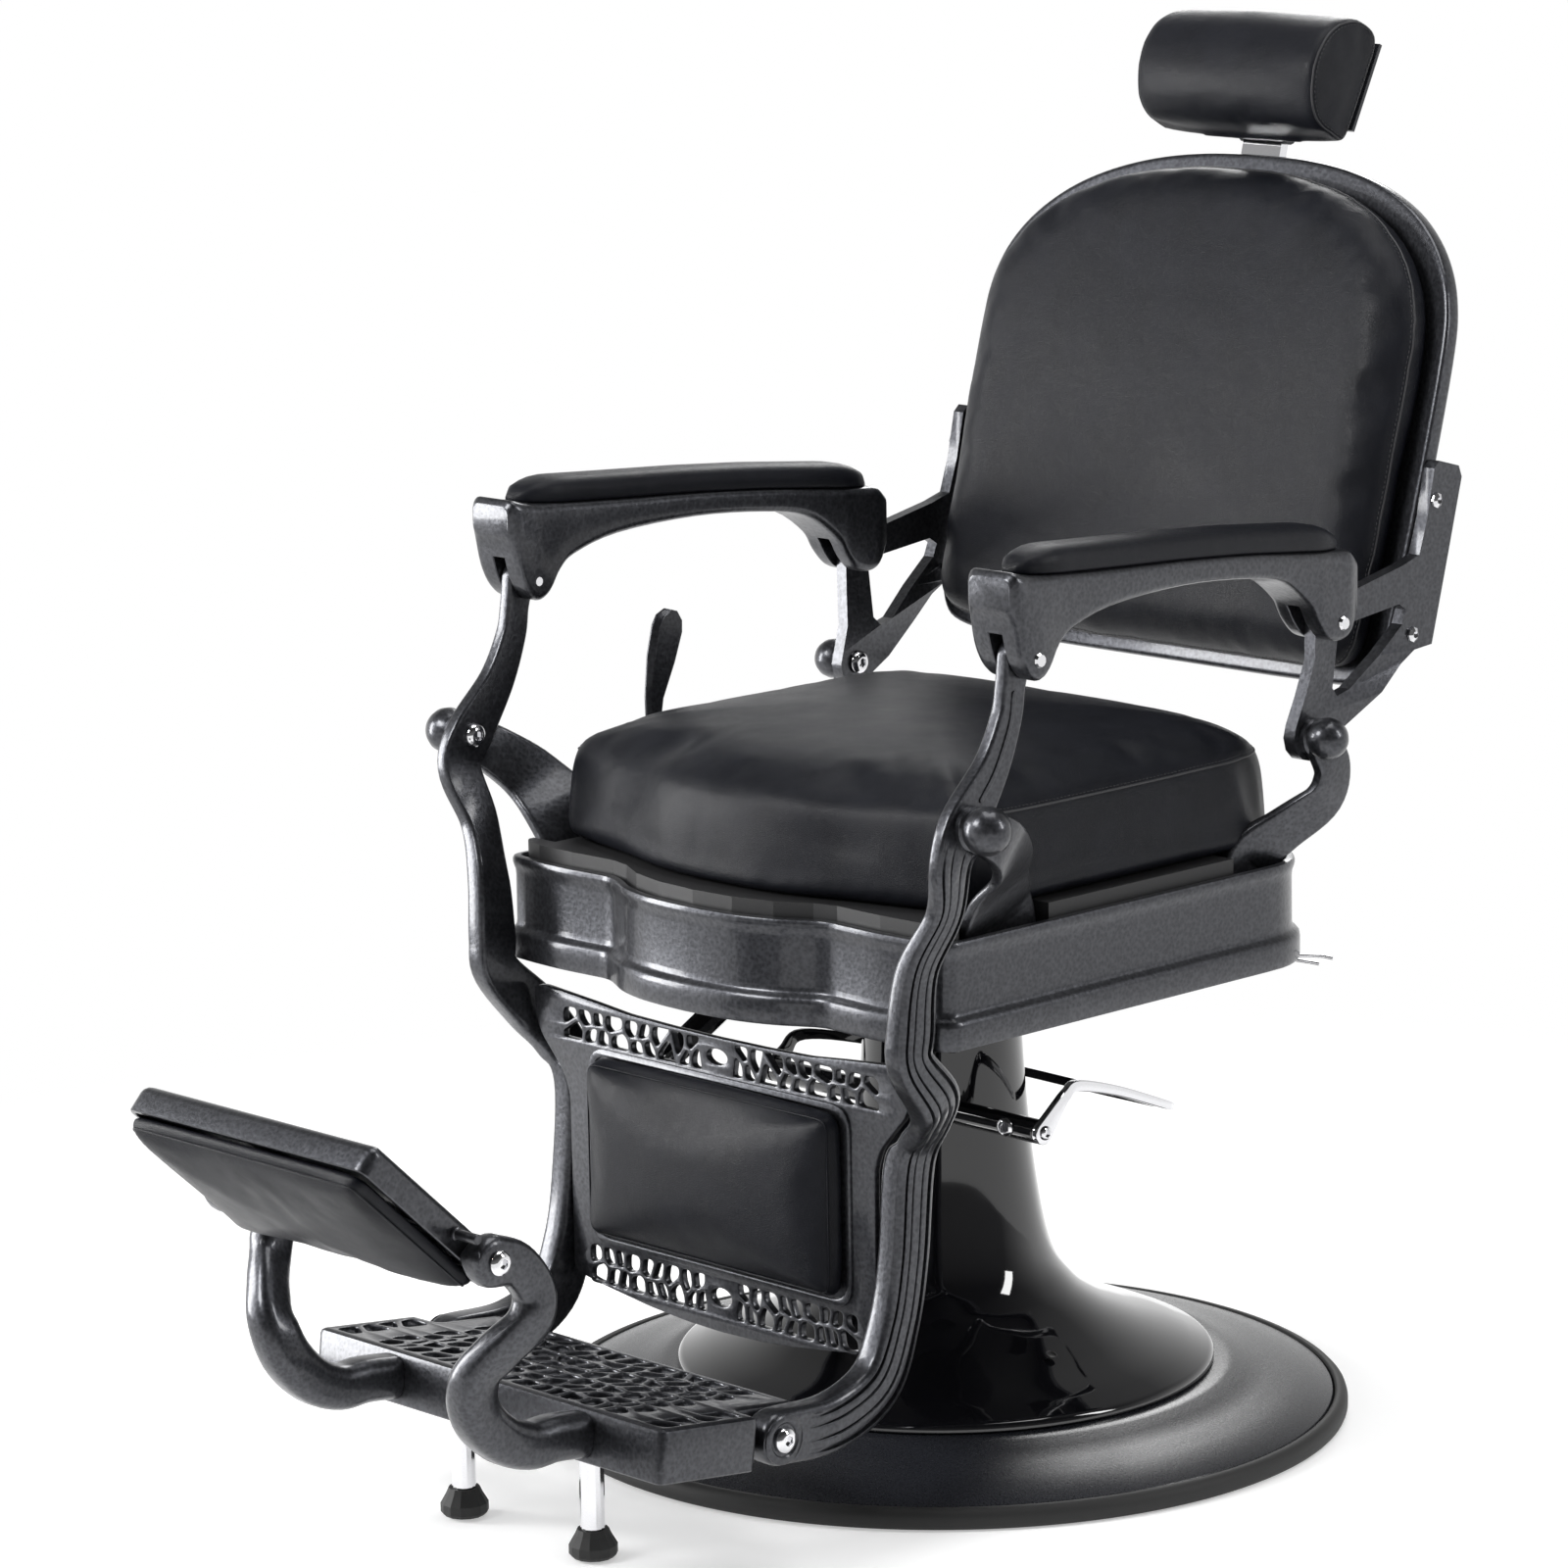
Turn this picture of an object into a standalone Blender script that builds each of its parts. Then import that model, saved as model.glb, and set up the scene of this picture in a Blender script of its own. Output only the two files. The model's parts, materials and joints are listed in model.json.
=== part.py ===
"""Hydraulic barber chair: separate named pieces, metres, +Z up, the chair faces -Y."""
import math

import bmesh
import bpy
from mathutils import Matrix, Vector

# ---- driving dimensions (metres) ----
GAP = 0.0004            # clearance between touching neighbours
BASE_R = 0.350          # outer radius of the floor ring
RING_W = 0.0115         # rubber ring width
BELL_R = 0.234          # bell foot radius
BELL_Z = 0.046          # height the bell stands on
BELL_T = 0.0045         # bell wall
NECK_TOP = 0.398        # top of the bell neck
RAM_R = 0.024
GUIDE_R = 0.0310
HUB_Z = 0.4020          # underside of the turning hub
FRAME_Z = 0.4400        # underside of the seat frame plate
PUMP_Y, PUMP_Z = -0.046, 0.283
PUMP_R = 0.0105
PUMP_X = 0.1590
SEAT_X = 0.262          # half width of the apron
APRON_Z0, APRON_Z1 = 0.408, 0.497
APRON_T = 0.006
APRON_REAR = 0.205
APRON_FRONT = -0.2587
F_Y, F_Z = -0.2745, 0.600       # front pivot of the leg levers
R_Y, R_Z = 0.166, 0.606         # rear pivot of the back
A_Y, A_Z = 0.176, 0.704         # rear pin of the armrests
B_Y, B_Z = -0.214, 0.728        # front pin of the armrests
LEG_X = 0.2950          # mid plane of the leg lever above the front pivot
LEG_T = 0.013
BACK_X = 0.2700         # mid plane of the back lever at the rear pivot
BACK_XA = 0.2790        # and at the armrest pin
BACK_T = 0.012
BOLT_R = 0.0052         # pivot bolt shank
PIN_R = 0.0040          # armrest pins
PIN_SLACK = 0.0022      # radial room in the front armrest eye
BALL_R = 0.0205
PLATE_Y, PLATE_Z = -0.399, 0.106    # hinge of the foot plate
PLATE_TILT = math.radians(7.0)
PLATE_X = 0.2110        # half width flush with the lever faces
PLATE_XIN = 0.1820      # half width between the levers
PLATE_FRONT = 0.137     # ahead of the hinge
PLATE_BACK = 0.038      # behind the hinge
PLATE_UP, PLATE_DOWN = 0.022, 0.022
TRAY_Y, TRAY_Z = -0.662, 0.301      # hinge of the flip footrest
TRAY_ANG = math.radians(137.0)      # direction of the tray in the Y-Z plane
TRAY_X = 0.1440
ARM_BOSS_X = 0.1590     # mid plane of the step arm bosses
STUB_X = 0.1155         # mid plane of the step arm roots
CUSH_X = 0.2470
CUSH_Z0 = 0.5096
CUSH_Z1 = 0.5880
BACK_TILT = math.radians(15.4)
BACK_Y0, BACK_Z0 = 0.2825, 0.625
BACK_HALF = 0.2720
BACK_H = 0.455
BACK_SAG = 0.028
SHELL_T = 0.018
ROUND_TOP = 2 / 2.35     # how square the back's shoulders are
HEAD_HALF = 0.1050
FOOT_X, FOOT_Y = 0.0790, -0.490
STRUT_X = -0.110
STRUT_Y, STRUT_Z = -0.060, 0.420    # rear eye of the recline strut, on the seat frame
STRUT_FY, STRUT_FZ = -0.245, 0.3215  # front eye, on the leg panel
ROD_R = 0.0040
LUG_X = 0.0155          # the strut lugs stand this far either side of its axis
LUG_T = 0.005
STRUT_PIN = 0.0038
PANEL_Y = -0.2680       # front face of the leg panel
PANEL_T = 0.007
HANDLE_Y, HANDLE_Z = -0.060, 0.4610
HANDLE_R = 0.0046
ROUND_N = 30            # facets round the large turned pieces
PLATE_WELL = 0.030      # floor of the base plate's middle well
RAM_TOP = 0.4335
REAR_ROUND = 0.075      # plan radius of the apron's rear corners
PLATE_T = 0.006         # seat frame plate
BOARD_Z = 0.4920        # underside of the seat board
BOARD_T = 0.0172
REAR_BALL = 0.0185
FOOT_END_X = 0.1960     # mid plane of the lever's lower eye
ARM_BOSS_T = 0.0225
TUBE_R = 0.0102         # front legs
LEG_TOP = 0.1212
TRAY_V0, TRAY_V1 = -0.0230, 0.1440
SHELL_MID = 0.010       # depth of the stem slot and the side screws in the shell
SCREW_R = 0.0027
BACK_SCREWS = (0.052, 0.168)        # heights up the back
PAD_GAP = 0.0007        # room between a soft pad and the curved face it lies on
STEM_W, STEM_T = 0.0450, 0.0090
STEM_LEN = 0.1420
STEM_IN = 0.128         # depth of the stem in the shell at its lowest setting
HEAD_PIN = 0.0033
HEAD_LEAN = math.radians(27.0)
HEAD_AT = Vector((0, 0.4120, 1.0790))       # rear lower corner of the headrest pillow
STRUT_TUBE = 0.178      # far end of the strut's tube from its eye

COL = bpy.data.collections
MATS = {}
WHERE = {}


def material(name, rgb, metallic, rough):
    if name not in MATS:
        m = bpy.data.materials.new(name)
        m.use_nodes = True
        b = m.node_tree.nodes["Principled BSDF"]
        b.inputs["Base Color"].default_value = (*rgb, 1.0)
        b.inputs["Metallic"].default_value = metallic
        b.inputs["Roughness"].default_value = rough
        MATS[name] = m
    return MATS[name]


def hammer():
    return material("hammered_paint", (0.11, 0.115, 0.125), 0.85, 0.34)


def chrome():
    return material("chrome", (0.80, 0.80, 0.81), 1.0, 0.08)


def gloss():
    return material("gloss_black_paint", (0.008, 0.008, 0.010), 0.0, 0.06)


def satin():
    return material("satin_black_paint", (0.018, 0.018, 0.021), 0.0, 0.45)


def frame_black():
    return material("frame_black_paint", (0.015, 0.015, 0.016), 0.0, 0.5)


def leather():
    return material("black_leather", (0.016, 0.017, 0.022), 0.0, 0.42)


def rubber():
    return material("black_rubber", (0.012, 0.012, 0.012), 0.0, 0.65)


def steel():
    return material("ground_steel", (0.55, 0.55, 0.56), 1.0, 0.22)


def start():
    for ob in list(bpy.data.objects):
        bpy.data.objects.remove(ob, do_unlink=True)
    root = bpy.context.scene.collection
    part = COL.new("part")
    cut = COL.new("cutters")
    root.children.link(part)
    root.children.link(cut)
    cut.hide_render = True


def place_in(ob, where, mat):
    COL[where].objects.link(ob)
    if where == "part":
        ob.data.materials.append(mat)
    else:
        ob.display_type = "WIRE"
        ob.hide_render = True
    return ob


def from_bmesh(name, bm, mat, where):
    me = bpy.data.meshes.new(name)
    bm.to_mesh(me)
    bm.free()
    return place_in(bpy.data.objects.new(name, me), where, mat)


def add(name, verts, faces, mat, where="part", tri=False):
    """A lofted piece: rings of points joined by quads."""
    bm = bmesh.new()
    vs = [bm.verts.new(v) for v in verts]
    for f in faces:
        bm.faces.new([vs[i] for i in f])
    bmesh.ops.remove_doubles(bm, verts=bm.verts[:], dist=1e-6)
    if tri:
        bmesh.ops.triangulate(bm, faces=bm.faces[:])
    bmesh.ops.recalc_face_normals(bm, faces=bm.faces[:])
    ob = from_bmesh(name, bm, mat, where)
    if where == "part":
        ob.data.shade_smooth()
        ob.data.set_sharp_from_angle(angle=math.radians(40))
    return ob


def loft(rings, closed=False, cap=True):
    """Quads between equal rings of points; flat caps, or closed round on itself."""
    n = len(rings[0])
    verts = [p for r in rings for p in r]
    faces = []
    m = len(rings)
    for i in range(m if closed else m - 1):
        a, b = i * n, ((i + 1) % m) * n
        for j in range(n):
            k = (j + 1) % n
            faces.append((a + j, a + k, b + k, b + j))
    if cap and not closed:
        faces.append(tuple(range(n - 1, -1, -1)))
        faces.append(tuple((m - 1) * n + j for j in range(n)))
    return verts, faces


def aim(at, axis):
    turn_to = Vector((0, 0, 1)).rotation_difference(Vector(axis).normalized())
    return Matrix.Translation(Vector(at)) @ turn_to.to_matrix().to_4x4()


def turned(name, profile, n, at, axis, mat, closed=False, where="part"):
    """Profile of (radius, height) with a Screw modifier; its outer side runs downwards."""
    area = 0.0
    for (x0, z0), (x1, z1) in zip(profile, profile[1:] + profile[:1]):
        area += x0 * z1 - x1 * z0
    rows = profile if area < 0 else profile[::-1]
    bm = bmesh.new()
    vs = [bm.verts.new((r, 0.0, h)) for r, h in rows]
    for a, b in zip(vs, vs[1:]):
        bm.edges.new((a, b))
    if closed:
        bm.edges.new((vs[-1], vs[0]))
    ob = from_bmesh(name, bm, mat, where)
    ob.matrix_world = aim(at, axis)
    m = ob.modifiers.new("turn", "SCREW")
    m.axis = "Z"
    m.steps = n
    m.render_steps = n
    m.use_merge_vertices = True
    m.merge_threshold = 0.00001
    w = ob.modifiers.new("poles", "WELD")
    w.merge_threshold = 0.00001
    return ob


def turn(profile, n, at, axis, closed=False):
    return turned("turned_tool", profile, n, at, axis, None, closed, "cutters")


def rod(p0, p1, r, n=12, name="bore"):
    """Cylinder primitive between two points, kept as a cutter or a part to join."""
    d = Vector(p1) - Vector(p0)
    bm = bmesh.new()
    bmesh.ops.create_cone(bm, cap_ends=True, segments=n, radius1=r, radius2=r, depth=d.length)
    ob = from_bmesh(name, bm, None, "cutters")
    ob.matrix_world = aim((Vector(p0) + Vector(p1)) / 2, d)
    return ob


def block(lo, hi, name="block"):
    bm = bmesh.new()
    bmesh.ops.create_cube(bm, size=1.0)
    size = [b - a for a, b in zip(lo, hi)]
    mid = [(a + b) / 2 for a, b in zip(lo, hi)]
    bmesh.ops.scale(bm, vec=size, verts=bm.verts)
    bmesh.ops.translate(bm, vec=mid, verts=bm.verts)
    return from_bmesh(name, bm, None, "cutters")


def globe(at, r, name="ball"):
    bm = bmesh.new()
    bmesh.ops.create_uvsphere(bm, u_segments=10, v_segments=7, radius=r)
    ob = from_bmesh(name, bm, None, "cutters")
    ob.matrix_world = aim(at, (1, 0, 0))
    return ob


def beam(start, d, length, wide, thick, name="beam", mat=None, where="cutters"):
    """Box of the given length along d, wide along X."""
    bm = bmesh.new()
    bmesh.ops.create_cube(bm, size=1.0)
    bmesh.ops.scale(bm, vec=(wide, thick, length), verts=bm.verts)
    ob = from_bmesh(name, bm, mat, where)
    z = Vector(d).normalized()
    x = Vector((1, 0, 0))
    turn_to = Matrix((x, z.cross(x), z)).transposed().to_4x4()
    ob.matrix_world = Matrix.Translation(Vector(start) + z * length / 2) @ turn_to
    return ob


def cut(ob, solids, kind="DIFFERENCE"):
    """One live Boolean for each solid taken out of, or joined to, a piece."""
    for c in solids:
        m = ob.modifiers.new(f"{kind.lower()}_{len(ob.modifiers)}", "BOOLEAN")
        c.name = f"{ob.name}_{m.name}"
        m.operation = kind
        m.solver = "EXACT"
        m.object = c
    return ob


def join(ob, solids):
    return cut(ob, solids, "UNION")


def baked(ob):
    """The piece's evaluated mesh in world space."""
    bpy.context.view_layer.update()
    graph = bpy.context.evaluated_depsgraph_get()
    me = bpy.data.meshes.new_from_object(ob.evaluated_get(graph))
    me.transform(ob.matrix_world)
    return me


def mirrored(ob, name):
    """The other side's copy of a finished piece, mirrored in X."""
    me = baked(ob)
    bm = bmesh.new()
    bm.from_mesh(me)
    bmesh.ops.scale(bm, vec=(-1, 1, 1), verts=bm.verts)
    bmesh.ops.reverse_faces(bm, faces=bm.faces)
    bm.to_mesh(me)
    bm.free()
    me.name = name
    other = bpy.data.objects.new(name, me)
    COL["part"].objects.link(other)
    return other


def both(name, ob, holes=(), joins=()):
    """The same piece on the +X side (L, the sitter's left) and mirrored to -X (R)."""
    ob.name = name + "_L"
    join(ob, joins)
    cut(ob, holes)
    mirrored(ob, name + "_R")
    return ob


def soft(ob):
    """Round a coarse cushion cage with one level of subdivision."""
    m = ob.modifiers.new("soft", "SUBSURF")
    m.levels = 1
    m.render_levels = 1
    m.use_limit_surface = False
    return ob


ROUND = (32, 66)        # where a bar's round end has its rings, in degrees


def section(w, t, c, n=8):
    """Rounded rectangle, w along the first axis and t along the second."""
    out = []
    k = n // 4
    for q, (sx, sy) in enumerate(((1, 1), (-1, 1), (-1, -1), (1, -1))):
        for i in range(k):
            a = math.pi / 2 * (q + i / (k - 1))
            out.append((sx * (w / 2 - c) + c * math.cos(a), sy * (t / 2 - c) + c * math.sin(a)))
    return out


def bar(rows, corner=0.4, round0=True, round1=True):
    """Bar lofted along rows (x, y, z, width in the Y-Z plane, thickness along X)."""
    tang = []
    for i in range(len(rows)):
        a, b = rows[max(i - 1, 0)], rows[min(i + 1, len(rows) - 1)]
        tang.append(Vector((0, b[1] - a[1], b[2] - a[2])).normalized())
    full = []
    if round0:
        x, y, z, w, t = rows[0]
        for deg in reversed(ROUND):
            s, c = math.sin(math.radians(deg)), math.cos(math.radians(deg))
            p = Vector((x, y, z)) - tang[0] * (w / 2 * s)
            full.append((p, tang[0], w * c, t))
    for r, d in zip(rows, tang):
        full.append((Vector(r[:3]), d, r[3], r[4]))
    if round1:
        x, y, z, w, t = rows[-1]
        for deg in ROUND:
            s, c = math.sin(math.radians(deg)), math.cos(math.radians(deg))
            p = Vector((x, y, z)) + tang[-1] * (w / 2 * s)
            full.append((p, tang[-1], w * c, t))
    rings = []
    for p, d, w, t in full:
        nrm = Vector((0, -d.z, d.y))
        c = min(w, t) * corner
        rings.append([p + nrm * u + Vector((v, 0, 0)) for u, v in section(w, t, c)])
    return loft(rings)


def ring_points(half_x, half_y, power, n, cx=0.0, cy=0.0):
    out = []
    for i in range(n):
        a = 2 * math.pi * i / n
        c, s = math.cos(a), math.sin(a)
        out.append((cx + half_x * math.copysign(abs(c) ** (2 / power), c),
                    cy + half_y * math.copysign(abs(s) ** (2 / power), s)))
    return out


def inset(poly, d):
    """Move a closed outline inwards by d along its corner bisectors (counter-clockwise)."""
    out = []
    n = len(poly)
    for i in range(n):
        a, b, c = Vector(poly[i - 1]), Vector(poly[i]), Vector(poly[(i + 1) % n])
        t = ((b - a).normalized() + (c - b).normalized()).normalized()
        out.append((b.x - t.y * d, b.y + t.x * d))
    return out


def pillow(name, outline, rims, crown, place, levels=(0.72, 0.36), back=()):
    """Cushion cage: back rings (scale, height), rims (inset, height) from the back edge to the
    front rim, and a crown that rises over the scaled outline; place maps to space."""
    n = len(outline)
    cx = sum(p[0] for p in outline) / n
    cy = sum(p[1] for p in outline) / n

    def scaled(src, k, h):
        return [(cx + (u - cx) * k, cy + (v - cy) * k, h) for u, v in src]
    rings = [scaled(outline, k, h) for k, h in back]
    for d, h in rims:
        last = inset(outline, d)
        rings.append([(u, v, h) for u, v in last])
    for k in levels:
        rings.append(scaled(last, k, rims[-1][1] + crown * (1 - k ** 2.2)))
    rings = [[place(*p) for p in r] for r in rings]
    return soft(add(name, *loft(rings), leather()))


def sheet(name, outline, holes, w0, w1, place, mat=None):
    """Flat outline with openings as a filled 2D curve, extruded from w0 to w1."""
    cu = bpy.data.curves.new(name, "CURVE")
    cu.dimensions = "2D"
    cu.fill_mode = "BOTH"
    cu.extrude = (w1 - w0) / 2
    for poly in [outline] + list(holes):
        sp = cu.splines.new("POLY")
        sp.points.add(len(poly) - 1)
        for p, (u, v) in zip(sp.points, poly):
            p.co = (u, v, 0.0, 1.0)
        sp.use_cyclic_u = True
    tmp = bpy.data.objects.new(name + "_outline", cu)
    COL["cutters"].objects.link(tmp)
    me = baked(tmp)
    bpy.data.objects.remove(tmp, do_unlink=True)
    bm = bmesh.new()
    bm.from_mesh(me)
    bmesh.ops.remove_doubles(bm, verts=bm.verts[:], dist=1e-6)
    mid = (w0 + w1) / 2
    for v in bm.verts:
        v.co = Vector(place(v.co.x, v.co.y, v.co.z + mid))
    bmesh.ops.recalc_face_normals(bm, faces=bm.faces[:])
    if bm.calc_volume(signed=True) < 0:
        bmesh.ops.reverse_faces(bm, faces=bm.faces[:])
    return from_bmesh(name, bm, mat, "part" if mat else "cutters")


def oval(cx, cy, a, b, turn_deg, n=10, power=2.0):
    t = math.radians(turn_deg)
    out = []
    for u, v in ring_points(a, b, power, n):
        out.append((cx + u * math.cos(t) - v * math.sin(t), cy + u * math.sin(t) + v * math.cos(t)))
    return out


def rect(cx, cy, hx, hy):
    return [(cx - hx, cy - hy), (cx + hx, cy - hy), (cx + hx, cy + hy), (cx - hx, cy + hy)]


def round_rect(cx, cy, hx, hy, r):
    out = []
    for q, (sx, sy) in enumerate(((1, 1), (-1, 1), (-1, -1), (1, -1))):
        for deg in (0, 45, 90):
            a = math.radians(90 * q + deg)
            out.append((cx + sx * (hx - r) + r * math.cos(a), cy + sy * (hy - r) + r * math.sin(a)))
    return out


def wedge(cx, cy, size, turn_deg, long=1.0):
    """Rounded triangle opening."""
    out = []
    for q in range(3):
        a = math.radians(turn_deg + 120 * q)
        for da in (-0.35, 0.35):
            out.append((cx + size * math.cos(a + da) * long, cy + size * math.sin(a + da)))
    return out


# ---------------------------------------------------------------- base
def build_base():
    up = (0, 0, 1)
    r1 = BASE_R - RING_W - GAP
    seat = BELL_Z - GAP
    plate = [(0, 0), (r1 - 0.004, 0), (r1, 0.003), (r1, 0.0165), (r1 - 0.008, 0.0205), (0.300, 0.030),
             (0.262, 0.038), (BELL_R + 0.0030, seat), (0.060, seat),
             (0.056, PLATE_WELL), (0, PLATE_WELL)]
    turned("base_plate", plate, ROUND_N, (0, 0, 0), up, satin())
    r0 = BASE_R - RING_W
    ring = [(r0, 0.0005), (BASE_R - 0.003, 0.0005), (BASE_R, 0.004), (BASE_R, 0.0125),
            (BASE_R - 0.0035, 0.0175), (r0 + 0.0025, 0.0185), (r0, 0.0170)]
    turned("base_rim_rubber", ring, ROUND_N, (0, 0, 0), up, rubber(), closed=True)
    outer = [(BELL_R, BELL_Z), (BELL_R, 0.0505), (BELL_R - 0.003, 0.0545), (0.205, 0.0655),
             (0.168, 0.0795), (0.136, 0.0955), (0.1100, 0.116), (0.0925, 0.146),
             (0.0795, 0.216), (0.0715, 0.297), (0.0660, NECK_TOP)]
    inner = [(outer[i][0] - BELL_T, outer[i][1] - 0.003) for i in (3, 5, 6, 7, 9)]
    inner = [(BELL_R - 0.006, BELL_Z), (BELL_R - 0.008, 0.0500)] + inner + [(0.0620, NECK_TOP)]
    bell = turned("pedestal_bell", outer + inner[::-1], ROUND_N, (0, 0, 0), up, gloss(), closed=True)
    cut(bell, [rod((-0.12, PUMP_Y, PUMP_Z), (0.12, PUMP_Y, PUMP_Z), PUMP_R + 0.0007, 16)])
    bore = RAM_R + 0.0006
    foot = PLATE_WELL + GAP
    tube = [(GUIDE_R, foot), (GUIDE_R, 0.392), (bore, 0.392), (bore, foot)]
    turned("pump_guide_tube", tube, 24, (0, 0, 0), up, steel(), closed=True)
    ram = [(0, 0.036), (RAM_R - 0.002, 0.036), (RAM_R, 0.038), (RAM_R, RAM_TOP - 0.001),
           (RAM_R - 0.001, RAM_TOP), (0, RAM_TOP)]
    turned("lift_ram", ram, 24, (0, 0, 0), up, chrome())


def build_pump_lever():
    shaft = [(0, -PUMP_X), (PUMP_R - 0.001, -PUMP_X), (PUMP_R, -PUMP_X + 0.001),
             (PUMP_R, PUMP_X - 0.001), (PUMP_R - 0.001, PUMP_X), (0, PUMP_X)]
    turned("pump_shaft", shaft, 16, (0, PUMP_Y, PUMP_Z), (1, 0, 0), gloss())
    x0 = PUMP_X + GAP + 0.003
    y, z = PUMP_Y, PUMP_Z
    near = [(x0, y, z, 0.021, 0.006), (x0, y + 0.014, z + 0.014, 0.014, 0.006),
            (x0 - 0.001, y + 0.030, z + 0.027, 0.011, 0.006),
            (x0 - 0.007, y + 0.050, z + 0.030, 0.010, 0.007),
            (x0 - 0.015, y + 0.106, z + 0.014, 0.009, 0.009),
            (x0 - 0.025, y + 0.174, z - 0.012, 0.008, 0.013),
            (x0 - 0.033, y + 0.192, z - 0.019, 0.007, 0.016)]
    near = add("pump_lever_L", *bar(near), chrome())
    socket = [(0, 0), (0.0042, 0), (0.0042, 0.006), (0, 0.006)]
    cut(near, [turn(socket, 6, (x0 + 0.0002, y, z), (1, 0, 0))])
    far = [(-x0, y, z, 0.021, 0.006), (-x0, y + 0.014, z + 0.014, 0.014, 0.006),
           (-x0 + 0.002, y + 0.034, z + 0.026, 0.010, 0.006),
           (-x0 + 0.033, y + 0.086, z + 0.016, 0.008, 0.008),
           (-0.040, y + 0.150, z - 0.003, 0.008, 0.010),
           (0.050, y + 0.186, z - 0.0165, 0.008, 0.010),
           (0.105, y + 0.1985, z - 0.0215, 0.007, 0.010)]
    add("pump_lever_R", *bar(far), gloss())


# ---------------------------------------------------------------- seat
def apron_outline():
    """Plan of the apron, counter-clockwise from the front middle."""
    bow = [(0.0, 0.0405), (0.045, 0.0375), (0.085, 0.0270), (0.115, 0.0105), (0.135, 0.0055),
           (0.185, 0.0070), (0.230, 0.0050), (0.256, -0.004)]
    right = [(x, APRON_FRONT - b) for x, b in bow]
    right += [(SEAT_X, APRON_FRONT + 0.012), (SEAT_X, APRON_REAR - REAR_ROUND)]
    for deg in (22, 45, 68, 90):
        a = math.radians(deg)
        right.append((SEAT_X - REAR_ROUND * (1 - math.cos(a)), APRON_REAR - REAR_ROUND * (1 - math.sin(a))))
    right.append((0.0, APRON_REAR))
    return right + [(-x, y) for x, y in reversed(right[1:-1])]


def build_apron():
    z0, z1 = APRON_Z0, APRON_Z1
    prof = [(0.0045, z0), (0.0065, z0 + 0.003), (0.0065, z0 + 0.0225), (0.0, z0 + 0.0290),
            (-0.0005, z1 - 0.012), (0.0020, z1 - 0.005), (0.0010, z1), (-0.004, z1),
            (-APRON_T, z1 - 0.004), (-APRON_T, z0)]
    rings = [[(x, y, z) for x, y in inset(apron_outline(), -d)] for d, z in prof]
    apron = add("seat_apron", *loft(rings, closed=True), hammer())
    cut(apron, [rod((-SEAT_X - 0.02, HANDLE_Y, HANDLE_Z), (-SEAT_X + 0.02, HANDLE_Y, HANDLE_Z),
                    HANDLE_R + 0.0005)])


def flat(u, v, w):
    return (u, v, w)


def build_frame():
    z = FRAME_Z
    wells = ((-0.135, 0.040), (0.140, 0.030))
    holes = [oval(s * 0.120, y, 0.040, h, 0, 8, 5.0) for s in (1, -1) for y, h in wells]
    plan = inset(apron_outline(), APRON_T + GAP)
    frame = sheet("seat_frame", plan, holes, z, z + PLATE_T, flat, frame_black())
    bore = RAM_R + 0.0005
    hub = turn([(0, RAM_TOP + 0.001), (bore, RAM_TOP + 0.001), (bore, HUB_Z), (0.060, HUB_Z),
                (0.060, HUB_Z + 0.006), (0.050, HUB_Z + 0.010), (0.050, z + 0.003), (0, z + 0.003)],
               24, (0, 0, 0), (0, 0, 1))
    extra = [hub, block((-0.060, -0.2550, z - 0.026), (0.060, -0.2490, z + 0.002))]
    for x in (STRUT_X - LUG_X, STRUT_X + LUG_X):
        extra.append(block((x - LUG_T / 2, STRUT_Y - 0.012, STRUT_Z - 0.010),
                           (x + LUG_T / 2, STRUT_Y + 0.012, z + 0.002)))
    extra.append(rod((STRUT_X - LUG_X, STRUT_Y, STRUT_Z), (STRUT_X + LUG_X, STRUT_Y, STRUT_Z), STRUT_PIN))
    for s in (1, -1):
        x0, x1 = sorted((s * 0.175, s * 0.2240))
        extra.append(block((x0, -0.230, z + 0.003), (x1, 0.100, BOARD_Z - GAP)))
    join(frame, extra)
    plan = inset(apron_outline(), APRON_T + 0.0016)
    deck = sheet("seat_board", plan, [], BOARD_Z, BOARD_Z + BOARD_T, flat, frame_black())
    notches = []
    for s in (1, -1):
        for x, y0, y1 in ((0.2275, -0.239, -0.134), (0.2225, 0.092, 0.170)):
            x0, x1 = sorted((s * x, s * (SEAT_X + 0.01)))
            notches.append(block((x0, y0, BOARD_Z - 0.01), (x1, y1, BOARD_Z + BOARD_T + 0.01)))
    cut(deck, notches)


def seat_outline():
    x = CUSH_X
    pts = [(0.0, -0.2740), (0.07, -0.2690), (0.135, -0.2480), (0.195, -0.2330), (x - 0.012, -0.2210),
           (x, -0.1900), (x + 0.002, -0.08), (x + 0.001, 0.04), (x - 0.002, 0.125), (x - 0.030, 0.178),
           (0.150, 0.1960), (0.0, 0.2000)]
    return pts + [(-a, b) for a, b in reversed(pts[1:-1])]


def build_seat_cushion():
    z0, z1 = CUSH_Z0, CUSH_Z1
    rims = [(0.020, z0), (0.000, z0 + 0.026), (0.000, z1 - 0.012), (0.018, z1 + 0.0120)]
    pillow("seat_cushion", seat_outline(), rims, 0.0190, flat, levels=(0.5,))


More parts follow.
